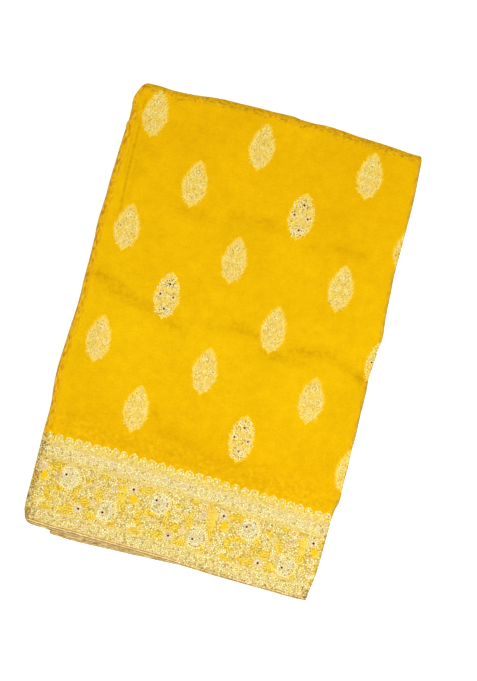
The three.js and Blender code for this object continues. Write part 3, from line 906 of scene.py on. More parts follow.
    # florets
    for i, (s0, t0, r) in enumerate(FLORETS):
        s0, t0, r = s0 + rng.normal(0, 0.5), t0 + rng.normal(0, 0.5), r * rng.uniform(0.84, 1.06)
        rings = ((r, 2.9), (r * 0.5, 2.6)) if i < 4 else ((r, 2.7),)
        if i < 4:
            fa, fb = put(s0, t0)
            q = np.linspace(0, 2 * np.pi, 14, endpoint=False)
            oa, ob_ = put(s0 + r * 0.93 * np.cos(q), t0 + r * 0.93 * np.sin(q))
            if flip < 0:
                oa, ob_ = oa[::-1], ob_[::-1]
            th.fill(oa, ob_, float(fa), float(fb), linear((243, 207, 128)) if dotted else linear((239, 206, 112)), base=0.12, rings=2, rise=0.02, spread=0.06)
        for ring_no, (rr, pitch) in enumerate(rings):
            count = max(5, int(2 * np.pi * rr / pitch))
            q = np.linspace(0, 2 * np.pi, count, endpoint=False) + rng.uniform(0, 1)
            rough = rr * rng.uniform(0.86, 1.12, count)
            fa, fb = put(s0 + rough * np.cos(q), t0 + rough * np.sin(q))
            if dotted and i < 4:
                th.beads(fa, fb, rng.uniform(0.8, 1.15, count) * (1 if ring_no == 0 else 0.8), 0.34, mixed(count, (0.38, "cream"), (0.12, "white"), (0.30, linear((248, 212, 152))), (0.08, linear((160, 116, 44))), (0.12, linear((206, 170, 88)))), base=0.14, spread=0.06)
            elif ring_no == 0:
                th.stitches(fa, fb, line_angle(q + np.pi / 2), pitch + 0.2, 1.5, 0.2, mixed(count, (0.6, LIGHT), (0.15, "cream"), (0.25, MID)), base=0.15)
            else:
                th.beads(fa, fb, 0.9, 0.24, mixed(count, (0.45, LIGHT), (0.55, linear((206, 168, 82)) if i == 0 else linear((232, 196, 106)))), base=0.15)
        if i < 4:
            count = 6
            q = np.linspace(0, 2 * np.pi, count, endpoint=False) + rng.uniform(0, 1, count)
            fa, fb = put(s0 + r * 1.28 * np.cos(q), t0 + r * 1.28 * np.sin(q))
            th.stitches(fa, fb, line_angle(q + np.pi / 2), 2.6, 0.9, 0.06, linear((196, 156, 86)) if dotted else linear((228, 190, 98)), base=0.10)
        fa, fb = put(s0, t0)
        if dotted and i < 4:
            th.beads(fa, fb, rng.uniform(1.16, 1.32), 0.4, "maroon", base=0.36, sides=9, spread=0.02)
        elif i == 3:
            th.beads(fa, fb, 0.9, 0.24, linear((222, 184, 100)), base=0.15)
        else:
            th.beads(fa, fb, 1.4 if i in (0, 4) else 1.0, 0.34, "cream" if i in (0, 4) else LIGHT, base=0.17)
    # bowed sprigs between the florets
    q = np.linspace(0, 1, 5)
    for side in (-1, 1):
        for bow, lo, hi in ((9.6, -17.5, -5.5), (7.6, 5.0, 14.0), (5.2, -9.5, 9.5)):
            t = lo + (hi - lo) * q
            s = side * bow * np.sin(np.pi * (0.16 + 0.70 * q))
            fa, fb = put(s, t)
            th.stitches(fa, fb, line_angle(np.pi / 2 - side * (q - 0.5) * 1.3), abs(hi - lo) / 4.4 + 0.4, 1.0, 0.2, "cream" if dotted else LIGHT, base=0.10)
            fa, fb = put(s + side * 1.4, t + 0.5)
            th.stitches(fa, fb, line_angle(np.pi / 2 - side * (q - 0.5) * 1.3), abs(hi - lo) / 5, 0.6, 0.1, DARK, base=0.10)
    # beads round the rim of a dotted leaf, a few bright points on a plain one
    if dotted:
        for side in (-1, 1):
            t = np.arange(-25.5, 26.5, 2.95)
            w = leaf_half(t)
            for inset, share in ((1.0, 0.75), (3.9, 0.6), (6.9, 0.45)):
                s = side * np.clip(w - inset - np.interp(t, [-26, -20, -14], [2.6, 3.0, 0.0]), 0.5, None) + rng.uniform(-0.6, 0.6, len(t))
                share = share * np.interp(np.abs(t + 2), [4, 13], [0.35, 1.0])
                keep = (rng.random(len(t)) < share) & (w > inset + 1)
                fa, fb = put(s[keep], (t + (0 if inset < 2 else 1.4) + rng.uniform(-0.7, 0.7, len(t)))[keep])
                k = int(keep.sum())
                th.beads(fa, fb, rng.uniform(0.7, 1.1, k), 0.36, mixed(k, (0.18, "bright"), (0.34, "white"), (0.48, linear((255, 240, 140)))), base=0.2)
        k = 34
        t = rng.uniform(-24, 22, k)
        s = rng.uniform(-0.85, 0.85, k) * leaf_half(t)
        fa, fb = put(s, t)
        th.beads(fa, fb, rng.uniform(0.45, 0.75, k), 0.24, mixed(k, (0.4, linear((192, 148, 56))), (0.6, linear((146, 100, 34)))), base=0.15)
        for mid in (17.0, -19.0):
            k = 13 if mid > 0 else 18
            q = np.linspace(0, 2 * np.pi, k, endpoint=False) + rng.uniform(-0.2, 0.2, k)
            r = rng.uniform(2.6, 6.6, k)
            fa, fb = put(r * np.cos(q), mid + r * 1.05 * np.sin(q))
            th.beads(fa, fb, rng.uniform(0.5, 0.8, k), 0.3, mixed(k, (0.6, linear((140, 92, 24))), (0.4, linear((182, 132, 44)))), base=0.22)
            q = q + 0.26
            r = rng.uniform(3.2, 7.4, k)
            fa, fb = put(r * np.cos(q), mid + r * np.sin(q))
            th.beads(fa, fb, rng.uniform(0.75, 1.0, k), 0.4, mixed(k, (0.30, "bright"), (0.40, "white"), (0.30, "lemon")), base=0.24)
    else:
        k = 9
        t = rng.uniform(-22, 20, k)
        s = rng.uniform(-0.7, 0.7, k) * leaf_half(t)
        fa, fb = put(s, t)
        th.beads(fa, fb, rng.uniform(0.6, 0.9, k), 0.3, "lemon", base=0.16)
        k = 11
        t = rng.uniform(-22, 22, k)
        s = rng.uniform(-0.8, 0.8, k) * leaf_half(t)
        fa, fb = put(s, t)
        th.beads(fa, fb, rng.uniform(0.45, 0.75, k), 0.2, mixed(k, (0.6, linear((200, 150, 56))), (0.4, linear((168, 118, 38)))), base=0.17)


# Leaves of the face, row by row: x, y, dark dots or not. The weave's own lattice, 137.5 x 71.9 mm,
# as it has settled in folding.
LEAVES = [
    (-222.5, 322.5, 0), (-84.3, 320.6, 0), (53.5, 318.4, 0), (190.8, 316.0, 0),
    (-154.9, 249.1, 0), (-16.8, 243.5, 0), (121.3, 244.1, 0),
    (-84.8, 177.7, 0), (52.8, 173.4, 1), (189.6, 167.6, 0),
    (-151.7, 104.2, 2), (-12.9, 99.4, 0), (123.4, 100.3, 0),
    (-81.5, 35.6, 1), (56.8, 29.3, 0), (193.0, 22.3, 1),
    (-149.1, -38.0, 0), (-11.5, -42.2, 0), (124.8, -42.7, 0),
    (-81.2, -109.9, 0), (54.3, -111.2, 1), (192.4, -115.1, 0),
]

th = Threads(11)
for i, (a, b, dots) in enumerate(LEAVES):
    leaf_motif(th, a, b, dots == 1, 4000 + i)
    if dots == 2:
        th.beads(a - 8.6, b + 0.2, 1.1, 0.4, "shade", base=0.2)
leaves_top = th.finish("zari_leaves", (-290, 330))

th = Threads(12)
for row in range(2, 9):
    for col in range(-1, 3):
        a = -154.9 + (col + (0.5 if row % 2 else 0.0)) * 137.5
        b = 249.1 + row * 71.9 - 2.7 * col
        if b < B_ALL - BORDER - 26 and abs(a) < 206:
            leaf_motif(th, a, b, (row, col) in {(3, 0), (5, 1), (7, 0)}, 5000 + row * 10 + col)
leaves_under = th.finish("zari_leaves_under", (300, 880))

# ---- the border


def border(th, seed, place):
    """The whole border. place(p, d) gives cloth points from the distance along it and down from its scallops."""
    rng = np.random.default_rng(seed)

    def mixed(n, *parts):
        share = np.cumsum([s for s, _ in parts])
        pick = np.searchsorted(share / share[-1], rng.random(n), side="right")
        return np.array([TONES[t] if isinstance(t, str) else t for _, t in parts])[np.clip(pick, 0, len(parts) - 1)]

    def st(p0, d0, x, y, angle, length, width, height, tone, **k):
        x, y = np.broadcast_arrays(np.atleast_1d(np.asarray(x, float)), np.atleast_1d(np.asarray(y, float)))
        a, b = place(p0 + x, d0 - y)
        th.stitches(a, b, np.asarray(angle, float) * place.sign, length, width, height, tone, **k)

    def bd(p0, d0, x, y, r, h, tone, **k):
        x, y = np.broadcast_arrays(np.atleast_1d(np.asarray(x, float)), np.atleast_1d(np.asarray(y, float)))
        a, b = place(p0 + x, d0 - y)
        th.beads(a, b, r, h, tone, **k)

    def cord(p0, d0, x, y, width, height, tone, **k):
        a, b = place(p0 + np.asarray(x, float), d0 - np.asarray(y, float))
        th.cord(a, b, width, height, tone, **k)

    def shape(p0, d0, x, y, tone, **k):
        """A filled shape with its outline anticlockwise round its middle."""
        x, y = np.asarray(x, float), np.asarray(y, float)
        a, b = place(p0 + x, d0 - y)
        ca, cb = place(np.array([p0 + x.mean()]), np.array([d0 - y.mean()]))
        th.fill(a, b, float(ca[0]), float(cb[0]), tone, **k)

    def oval(p0, d0, rx, ry, turn, tone, n=14, **k):
        t = np.linspace(0, 2 * np.pi, n, endpoint=False)
        x, y = rx * np.cos(t), ry * np.sin(t)
        shape(p0, d0, x * math.cos(turn) - y * math.sin(turn), x * math.sin(turn) + y * math.cos(turn), tone, rings=2, **k)

    def line(d, width, height, tone, wave=0.15, **k):
        p = np.arange(-192, 196, 4.0)
        a, b = place(p, d + wave * noise1(p, 14, seed + int(d * 10) % 97))
        th.cord(a, b, width, height, tone, **k)

    def turned(x, y, angle):
        c, q = math.cos(angle), math.sin(angle)
        return x * c - y * q, x * q + y * c

    gilt_tones = ((0.40, linear((252, 228, 92))), (0.28, linear((255, 236, 118))), (0.16, linear((238, 204, 58))), (0.16, linear((212, 172, 46))))
    busy = []           # ovals that the filling keeps clear of: along, down, half sizes, turn, tones of the row round it

    def clear(p, d):
        for bp, bd_, rx, ry, turn, _ in busy:
            if abs(p - bp) < 18:
                x, y = turned(p - bp, bd_ - d, -turn)
                if (x / rx) ** 2 + (y / ry) ** 2 < 1:
                    return False
        return True

    class Apart:
        """Keeps points from crowding."""

        def __init__(self):
            self.cells = {}

        def take(self, p, d, gap, keep=True):
            i, j = int(p // 3.3), int(d // 3.3)
            for u in (i - 1, i, i + 1):
                for v in (j - 1, j, j + 1):
                    for q, e in self.cells.get((u, v), ()):
                        if (q - p) ** 2 + (e - d) ** 2 < gap * gap:
                            return False
            if keep:
                self.cells.setdefault((i, j), []).append((p, d))
            return True

    def filling(lo, hi, rows, gap, count, parts, specks):
        """Dots in rows that echo the shapes, then scattered ones, then dark specks in the gaps."""
        apart = Apart()
        placed = []
        for k in range(rows):
            for bp, bd_, rx, ry, turn, row_parts in busy:
                off = 1.25 + 2.9 * k
                m = max(6, int(np.pi * (rx + ry + 2 * off) / 3.0))
                t = np.linspace(0, 2 * np.pi, m, endpoint=False) + rng.uniform(0, 1)
                x, y = turned((rx + off) * np.cos(t), (ry + off) * np.sin(t), turn)
                for px, dy, tt in zip(bp + x, bd_ - y, t):
                    if lo < dy < hi and abs(px) < 193 and clear(px, dy) and apart.take(px, dy, gap):
                        placed.append((px, dy, tt + turn, row_parts if k < 2 and row_parts else parts, k))
        for px, dy in zip(rng.uniform(-193, 193, count), rng.uniform(lo, hi, count)):
            if clear(px, dy) and apart.take(px, dy, gap):
                placed.append((px, dy, rng.uniform(0, 3), parts, 9))
        warm = gilt(np.array([v[0] for v in placed]), np.array([v[1] for v in placed]))
        stay = rng.random(len(placed)) < np.interp(warm, [0.35, 0.9], [1.0, 0.9])
        warm = warm[stay]
        placed = [v for v, s in zip(placed, stay) if s]
        p, d, t = (np.array([v[i] for v in placed]) for i in range(3))
        tone = np.array([mixed(1, *(gilt_tones if g > 0.45 else v[3]))[0] for v, g in zip(placed, warm)])
        order = np.array([v[4] for v in placed])
        p, d = p + rng.uniform(-0.25, 0.25, len(p)), d + rng.uniform(-0.25, 0.25, len(p))
        dash = ((order == 0) & (rng.random(len(p)) < 0.45)) | (rng.random(len(p)) < 0.14 + 0.4 * warm)
        st(p[dash], d[dash], 0, 0, t[dash] + rng.normal(0, 0.3, int(dash.sum())), rng.uniform(2.4, 3.6, int(dash.sum())), rng.uniform(1.1, 1.5, int(dash.sum())), 0.34, tone[dash], spread=0.08)
        n = int((~dash).sum())
        bd(p[~dash], d[~dash], 0, 0, rng.uniform(0.92, 1.38, n), rng.uniform(0.26, 0.4, n), tone[~dash], spread=0.07)
        sp, sd = [], []
        for px, dy in zip(rng.uniform(-193, 193, specks * 6), rng.uniform(lo, hi, specks * 6)):
            if len(sp) < specks and clear(px, dy) and apart.take(px, dy, 1.4, keep=False):
                sp.append(px)
                sd.append(dy)
        n = len(sp)
        gold_here = gilt(np.array(sp), np.array(sd)) > 0.45
        tone = mixed(n, (0.14, "shade"), (0.42, linear((188, 164, 80))), (0.44, linear((200, 166, 84))))
        tone[gold_here] = linear((198, 158, 34))
        bd(np.array(sp), np.array(sd), 0, 0, rng.uniform(0.55, 0.95, n), 0.16, tone, base=0.06)

    # -- scallops
    pitch = 11.9
    for i in range(-17, 17):
        p0 = 3.9 + i * pitch
        drop = float(rng.uniform(-0.7, 0.7))
        p0, size = p0 + float(rng.uniform(-0.8, 0.8)), float(rng.uniform(0.84, 1.08))
        edge_wobble = size * rng.uniform(0.86, 1.08, 16)
        q = np.linspace(0, 2 * np.pi, 16, endpoint=False)
        shape(p0, 4.2 + drop, 5.7 * edge_wobble * np.cos(q), 5.7 * edge_wobble * np.sin(q), linear((240, 206, 72)), rings=2, base=0.05, rise=0.01, rim=linear((242, 200, 34)), spread=0.05)
        shape(p0, 4.4 + drop, 4.7 * edge_wobble * np.cos(q), 4.5 * edge_wobble * np.sin(q), linear((230, 203, 98)), rings=2, base=0.07, rise=0.02, rim=linear((238, 206, 82)), spread=0.06)
        t = np.linspace(-0.25, np.pi + 0.25, 8) + rng.uniform(-0.26, 0.26, 8)
        q = rng.uniform(0.72, 1.10, 8)
        keep = rng.random(8) < rng.choice([0.95, 0.8, 0.5])
        bd(p0, 4.2 + drop, (4.9 * size * q * np.cos(t))[keep], (4.6 * size * q * np.sin(t))[keep], rng.uniform(0.65, 1.45, 8)[keep], 0.36, mixed(8, (0.06, "white"), (0.26, "butter"), (0.30, "lemon"), (0.24, linear((255, 234, 112))), (0.14, linear((246, 212, 134))))[keep])
        t = np.linspace(0.0, np.pi, 5) + rng.uniform(-0.5, 0.5, 5)
        bd(p0, 4.4 + drop, 3.0 * np.cos(t), 2.6 * np.sin(t), rng.uniform(0.5, 0.8, 5), 0.2, mixed(5, (0.50, linear((194, 166, 66))), (0.22, "shade"), (0.28, "dull")))
        bd(p0, 4.4 + drop, rng.uniform(-1.5, 1.5, 3), rng.uniform(-1.0, 1.2, 3), rng.uniform(0.9, 1.4, 3), 0.38, mixed(3, (0.34, "white"), (0.50, "lemon"), (0.16, linear((248, 206, 84)) if i % 4 == 1 else "rose")))
        bd(p0 + pitch / 2, 7.2, rng.uniform(-1.7, 1.7, 4), [0.1, 0.2, 1.4, -1.2], rng.uniform(0.75, 1.15, 4), 0.3, mixed(4, (0.14, "white"), (0.46, "lemon"), (0.24, linear((250, 222, 96))), (0.16, "dull")))
        bd(p0 + pitch / 2, 5.2, 0, 0, 0.7, 0.14, "shade" if i % 3 == 0 else "olive")
    k = 190
    p, d = rng.uniform(-191, 192, k), rng.uniform(6.4, 9.6, k)
    bd(p, d, 0, 0, rng.uniform(0.7, 1.0, k), 0.26, mixed(k, (0.10, "white"), (0.40, "lemon"), (0.25, "pale"), (0.25, "dull")))
    # -- thin lines, worn through here and there
    for d0, tone in ((9.4, (242, 206, 100)), (11.6, (242, 200, 92)), (13.9, (240, 194, 94)), (15.3, (251, 230, 148)), (27.4, (251, 230, 146)), (29.2, (240, 200, 98)), (31.2, (242, 204, 92)), (93.0, (241, 206, 98)), (94.9, (251, 227, 136)), (107.9, (236, 196, 108))):
        start = -193.0
        while start < 193:
            end = min(193.0, start + rng.uniform(14, 46))
            p = np.arange(start, end, 3.5)
            if len(p) > 2:
                a, b = place(p, d0 + 0.35 * noise1(p, 14, seed + int(d0 * 10) % 97))
                th.cord(a, b, 0.75 * np.sin(np.linspace(0.25, np.pi - 0.25, len(p))), 0.08, linear(tone), base=0.05)
            start = end + rng.uniform(1, 12)
    for lo, hi in ((9.6, 15.2), (26.4, 32.0), (92.2, 95.8)):
        k = int(76 * (hi - lo))
        p, d = rng.uniform(-192, 193, k), rng.uniform(lo, hi, k)
        st(p, d, 0, 0, rng.normal(0, 0.12, k), rng.uniform(1.6, 4.0, k), rng.uniform(0.7, 1.1, k), 0.08, mixed(k, (0.40, linear((255, 245, 164))), (0.38, linear((208, 180, 88))), (0.22, linear((244, 210, 116)))), base=0.04)

    # -- small flowers
    for i in range(-17, 17):
        p0 = 0.2 + i * 11.6
        even = i % 2 == 0
        d0 = (19.2 if even else 22.4) + float(rng.uniform(-0.6, 0.6))
        r = 3.5 if even else 2.7
        n = 8 if even else 6
        oval(p0, d0, r - 0.3, r - 0.4, 0, linear((230, 204, 138)), n=10, base=0.05, rise=0.02, spread=0.08)
        t = np.linspace(0, 2 * np.pi, n, endpoint=False) + i
        q = r * rng.uniform(0.82, 1.12, n)
        bd(p0, d0, q * np.cos(t), q * np.sin(t), rng.uniform(0.8, 1.35, n), 0.36, mixed(n, (0.10 if even else 0.04, "bright"), (0.28, "white"), (0.18, "rose"), (0.12, "lilac"), (0.32, "butter")))
        st(p0, d0, 1.8 * np.cos(t), 1.8 * np.sin(t), t, 1.2, 0.8, 0.14, mixed(n, (0.3, "dull"), (0.7, "khaki")))
        bd(p0, d0, 0, 0, 0.9, 0.36, "rose" if i % 3 else "cream")
        busy.append((p0, d0, r + 1.2, r + 1.1, 0.0, None))
    filling(16.0, 26.4, 1, 2.65, 2600, ((0.18, "white"), (0.30, "butter"), (0.24, "lemon"), (0.13, "rose"), (0.06, "khaki"), (0.09, "green")), 190)

    # -- main field
    busy.clear()
    gold, amber, ochre, flax, peach = (linear(c) for c in ((236, 194, 32), (240, 182, 38), (222, 200, 50), (214, 204, 60), (242, 188, 88)))
    whites = ((0.34, "bright"), (0.36, "white"), (0.20, "lemon"), (0.10, "lilac"))
    creams = ((0.06, "bright"), (0.26, "white"), (0.28, "butter"), (0.24, "lemon"), (0.10, "rose"), (0.06, "khaki"))
    ray_tones = ((0.60, linear((254, 232, 110))), (0.40, linear((250, 220, 80))))
    dark_rays = ((0.60, linear((206, 162, 28))), (0.40, linear((222, 178, 36))))

    def petal(fp, fd, length, width, ang, tone, rays=4, bare=0.15):
        """A pointed petal from its foot at fp, fd, with rays along it."""
        width = width * 1.45
        q = np.linspace(0, 1, 8)
        half = width / 2 * np.sin(np.pi * q ** 0.72) * (1 + rr.uniform(-0.12, 0.12, 8))
        x = np.concatenate([q, q[::-1][1:-1]]) * length
        y = np.concatenate([-half, half[::-1][1:-1]])
        shape(fp, fd, *turned(x, y, ang), tone, rings=2, base=0.07, rise=0.06, rim=linear((238, 200, 78)), spread=0.07)
        for i, f in enumerate(np.linspace(-0.8, 0.8, rays + 1)):
            q = np.array([0.06, 0.5, rr.uniform(0.9, 1.1)])
            x, y = turned(q * length, (f + rr.uniform(-0.08, 0.08)) * width / 2 * np.sin(np.pi * np.clip(q, 0, 1) ** 0.72), ang)
            cord(fp, fd, x, y, [0.6, rr.uniform(0.8, 1.15), 0.7], 0.18, mixed(1, *(ray_tones if i % 2 else dark_rays))[0], base=0.12)
        cx, cy = turned(length / 2, 0, ang)
        busy.append((fp + cx, fd - cy, length * bare, width * bare * 0.8, ang, None))

    def fan(fp, fd, radius, a0, a1, tone, rays=7):
        """A spread of rays from one point."""
        t = np.linspace(a0, a1, 9)
        x = np.concatenate([[0], radius * np.cos(t) * (1 + rr.uniform(-0.1, 0.06, 9))])
        y = np.concatenate([[0], radius * np.sin(t) * (1 + rr.uniform(-0.1, 0.06, 9))])
        shape(fp, fd, x, y, tone, rings=2, base=0.07, rise=0.04, rim=linear((238, 200, 78)), spread=0.07)
        for i, f in enumerate(np.linspace(a0 + 0.04, a1 - 0.04, 2 * rays - 1)):
            q = np.array([0.16, 0.6, 1.08]) * radius * rr.uniform(0.86, 1.04)
            light = i % 2 == 0
            cord(fp, fd, q * math.cos(f), q * math.sin(f), [0.5, 1.0, 0.8] if light else [0.3, 0.6, 0.5], 0.2 if light else 0.1, mixed(1, *(ray_tones if light else dark_rays))[0], base=0.12 if light else 0.1)
        m = (a0 + a1) / 2
        busy.append((fp + radius * 0.54 * math.cos(m), fd - radius * 0.54 * math.sin(m), radius * 0.22, radius * math.sin((a1 - a0) / 2) * 0.26, m, None))

    def crescent(fp, fd, radius, width, a0, a1, tone):
        t = np.linspace(a0, a1, 9)
        cord(fp, fd, radius * np.cos(t), radius * np.sin(t), width * np.sin(np.linspace(0.45, np.pi - 0.45, 9)), 0.08, tone, base=0.08)
        for i, f in enumerate(np.linspace(a0 + 0.15, a1 - 0.15, max(5, int((a1 - a0) * radius / 1.7)))):
            q = np.array([-0.5, 0.0, 0.5]) * width + radius
            cord(fp, fd, q * math.cos(f + 0.08), q * math.sin(f + 0.08), 0.85, 0.14, mixed(1, *(dark_rays if i % 2 else ray_tones))[0], base=0.12)
        for f in np.linspace(a0, a1, 4):
            busy.append((fp + radius * math.cos(f), fd - radius * math.sin(f), width * 0.2, width * 0.2, f, None))

    def head(fp, fd, rad, tone, heart="rose"):
        n = int(2 * np.pi * rad / 2.7)
        t = np.linspace(0, 2 * np.pi, n, endpoint=False) + fp
        q = rad * rr.uniform(0.78, 1.12, n)
        bd(fp, fd, q * np.cos(t), q * np.sin(t), rr.uniform(0.8, 1.35, n), 0.38, mixed(n, (0.55, tone), (0.25, "lemon"), (0.1, "rose"), (0.1, "khaki")), spread=0.08)
        bd(fp, fd, rr.uniform(-0.6, 0.6), rr.uniform(-0.6, 0.6), rr.uniform(0.8, 1.3), 0.36, heart)
        n = 3
        t = np.linspace(0, 2 * np.pi, n, endpoint=False) + fp
        bd(fp, fd, rad * 0.5 * np.cos(t), rad * 0.5 * np.sin(t), 0.65, 0.16, mixed(n, (0.5, "shade"), (0.5, "dull")))
        busy.append((fp, fd, rad + 0.9, rad + 0.9, 0.0, None))

    for r in range(-2, 3):
        p0 = EYE + r * REPEAT
        if abs(p0) > 300:
            continue
        rr = np.random.default_rng(seed * 100 + r + 7)
        high = {-1: -0.3}.get(r, 0.0)
        low = {-1: -0.8, 1: 2.6, 2: 2.0}.get(r, 0.0)
        # eye flowers, one high and one low, their rings drawn towards the dark dot
        for cp, cd, dx, dy in ((p0, 48.4 + high, -3.9, 2.9), (p0 + 54.9, 76.2 + low, -3.6, -2.8)):
            oval(cp - 0.2, cd, 11.6, 12.0, 0, linear((218, 196, 126)), n=28, base=0.05, rise=0.01, spread=0.09)
            for i in range(6):
                rad = (2.7, 4.7, 6.8, 8.9, 10.9, 12.8)[i]
                mx, my = dx * (1 - i / 5) ** 1.5, dy * (1 - i / 5) ** 1.5
                reach = (np.pi, np.pi, np.pi, 2.7, 2.5, 2.45)[i]
                step = (2.3, 2.6, 2.6, 2.7, 2.8, 2.75)[i]
                t = np.arange(-reach, reach - step / rad / 2, step / rad) + rr.uniform(-0.1, 0.2)
                n = len(t)
                rad = rad + rr.uniform(-0.3, 0.3, n)
                x, y = mx + rad * np.cos(t), my + rad * np.sin(t)
                if i == 0:
                    bd(cp, cd, x, y, 1.0, 0.34, mixed(n, (0.36, "bright"), (0.24, "lilac"), (0.40, "rose")))
                elif i == 1:
                    bd(cp, cd, x, y, rr.uniform(0.6, 1.0, n), 0.26, mixed(n, (0.34, "shade"), (0.38, "white"), (0.28, "rose")))
                elif i == 2:
                    bd(cp, cd, x, y, rr.uniform(0.85, 1.15, n), 0.34, mixed(n, (0.36, "bright"), (0.34, "white"), (0.20, "lilac"), (0.10, linear((176, 152, 96)))))
                elif i == 3:
                    right = np.abs(t) < 1.5
                    st(cp, cd, x[right], y[right], t[right] + np.pi / 2, rr.uniform(1.9, 2.6, int(right.sum())), rr.uniform(2.0, 2.9, int(right.sum())), 0.3, mixed(int(right.sum()), (0.4, linear((255, 250, 222))), (0.6, linear((238, 234, 210)))))
                    bd(cp, cd, x[~right], y[~right], 1.0, 0.32, mixed(int((~right).sum()), (0.5, "white"), (0.5, "lemon")))
                elif i == 4:
                    bd(cp, cd, x, y, rr.uniform(0.7, 1.1, n), 0.26, mixed(n, (0.12, "shade"), (0.26, linear((190, 164, 92))), (0.28, "white"), (0.34, "lemon")))
                else:
                    bd(cp, cd, x, y, rr.uniform(1.1, 1.35, n), 0.42, mixed(n, (0.20, "bright"), (0.40, "white"), (0.40, "lemon")))
            n = 12
            t, q = np.linspace(1.0, 5.4, n) + rr.uniform(-0.16, 0.16, n), np.resize([5.8, 7.9, 9.9], n) + rr.uniform(-0.3, 0.3, n)
            bd(cp, cd, q * np.cos(t), q * np.sin(t), rr.uniform(0.4, 0.6, n), 0.4, mixed(n, (0.5, linear((156, 130, 78))), (0.5, linear((184, 160, 100)))), base=0.12)
            bd(cp, cd, dx, dy, 1.4, 0.45, "maroon", base=0.2, sides=8, spread=0.02)
            busy.append((cp - 0.3, cd, 14.1, 14.3, 0.0, creams))
        # dotted flowers
        for cp, cd in ((p0 + 81.4, 41.0 + high), (p0 + 21.2, 83.6 + low * 0.4 + (-1.6 if r == -1 else 0.0))):
            oval(cp, cd, 5.6, 5.4, 0, linear((228, 196, 134)), n=16, base=0.06, rise=0.01)
            t = np.linspace(0, 2 * np.pi, 7, endpoint=False) + rr.uniform(0, 1)
            bd(cp, cd, 3.1 * np.cos(t), 3.1 * np.sin(t), rr.uniform(0.9, 1.3, 7), 0.38, mixed(7, (0.45, "bright"), (0.3, "lilac"), (0.25, linear((222, 176, 160)))))
            t = np.linspace(0, 2 * np.pi, 11, endpoint=False) + rr.uniform(0, 1)
            st(cp, cd, 5.5 * np.cos(t), 5.5 * np.sin(t), t, 2.4, 1.2, 0.26, mixed(11, (0.3, "white"), (0.4, "lemon"), (0.3, "rose")))
            if cp > -168:
                bd(cp, cd, 0, 0, 1.45, 0.45, "maroon", base=0.22, sides=8, spread=0.02)
            busy.append((cp, cd, 6.4, 6.2, 0.0, creams))
        # round petal with rays, under the high dotted flower
        cp, cd = p0 + 85.0, 52.0 + high
        oval(cp + 0.2, cd + 0.4, 4.9, 5.5, 0.2, linear((238, 198, 52)), n=14, base=0.07, rim=linear((236, 204, 86)))
        oval(cp + 0.2, cd + 0.4, 3.7, 4.3, 0.2, linear((246, 200, 6)), n=14, base=0.11, rim=linear((242, 198, 28)))
        busy.append((cp + 0.2, cd + 0.4, 4.2, 4.8, 0.2, None))
        for ang in np.linspace(0.3, 1.9, 6):
            q = np.array([4.6, 6.2, 8.0])
            cord(cp, cd, q * math.cos(ang - 1.4), q * math.sin(ang - 1.4), 0.8, 0.2, linear((255, 234, 120)), base=0.12)
        # winged fan beside it
        fan(p0 + 76.2, 48.8 + high, 14.5, 1.95, 3.05, linear((243, 188, 30)), rays=7)
        fan(p0 + 75.6, 52.0 + high, 13.0, 3.15, 4.30, linear((243, 184, 28)), rays=7)
        petal(p0 + 70.6, 70.4, 10.5, 4.4, 1.9, gold, rays=3)
        # wings and foot of the low dotted flower
        petal(p0 + 32.6, 68.6 + low * 0.4, 12.5, 6.4, 3.55, linear((242, 192, 16)), rays=4, bare=0.24)
        petal(p0 + 14.2, 77.0, 7.0, 3.6, 1.35, gold, rays=2)
        crescent(p0 + 21.2, 83.6 + low * 0.4, 9.0, 3.2, 2.5, 4.2, ochre)
        crescent(p0 + 21.2, 83.6 + low * 0.4, 9.2, 3.0, -0.9, 0.7, ochre)
        oval(p0 + 36.2, 71.6 + low * 0.4, 2.9, 3.9, 0, linear((232, 198, 142)), n=12, base=0.07, rim=linear((236, 206, 122)))
        bd(p0 + 36.2, 71.6 + low * 0.4, [-1.2, 0.9, 0.1], [1.8, 0.3, -1.9], 0.8, 0.2, mixed(3, (0.5, "rose"), (0.5, "butter")), base=0.1)
        busy.append((p0 + 36.2, 71.6 + low * 0.4, 3.0, 4.0, 0.0, None))
        fan(p0 + 37.0, 78.4 + low * 0.3, 11.5, 4.25, 5.35, linear((240, 188, 26)), rays=5)
        # petals between
        petal(p0 + 38.6, 34.4, 9.4, 4.8, 0.05, flax, rays=3, bare=0.2)
        petal(p0 + 41.4, 61.8, 9.8, 4.2, 1.35, ochre, rays=3)
        crescent(p0 + 50.0, 53.2, 6.6, 3.0, 2.5, 4.4, flax)
        petal(p0 + 12.2, 69.2, 12.0, 4.8, 1.35, peach, rays=3)
        petal(p0 + 64.0, 91.6, 6.2, 3.2, 0.35, linear((244, 186, 90)), rays=2)
        petal(p0 + 90.6, 90.2, 10.8, 4.6, 0.1, linear((240, 190, 20)), rays=4, bare=0.22)
        petal(p0 + 93.0, 37.6, 13.0, 6.4, 0.15, ochre, rays=4)
        petal(p0 + 104.4, 40.2, 7.6, 3.6, 1.9, ochre, rays=2)
        crescent(p0 + 103.2, 70.2, 8.4, 3.4, 1.5, 3.9, linear((232, 198, 34)))
        petal(p0 + 95.6, 80.2, 5.4, 3.0, 1.2, peach, rays=2)
        petal(p0 + 2.2, 88.6, 9.6, 5.2, 0.7, ochre, rays=3)
        petal(p0 + 26.4, 46.6, 7.2, 3.2, 1.3, ochre, rays=2)
        petal(p0 + 98.6, 57.6, 6.8, 3.0, 2.0, gold, rays=2)
        petal(p0 + 7.0, 64.0, 6.4, 2.8, 3.4, peach, rays=2)
        petal(p0 + 66.6, 84.8, 6.6, 3.2, 2.5, flax, rays=2)
        petal(p0 + 109.0, 88.0, 8.0, 4.0, 1.0, ochre, rays=3)
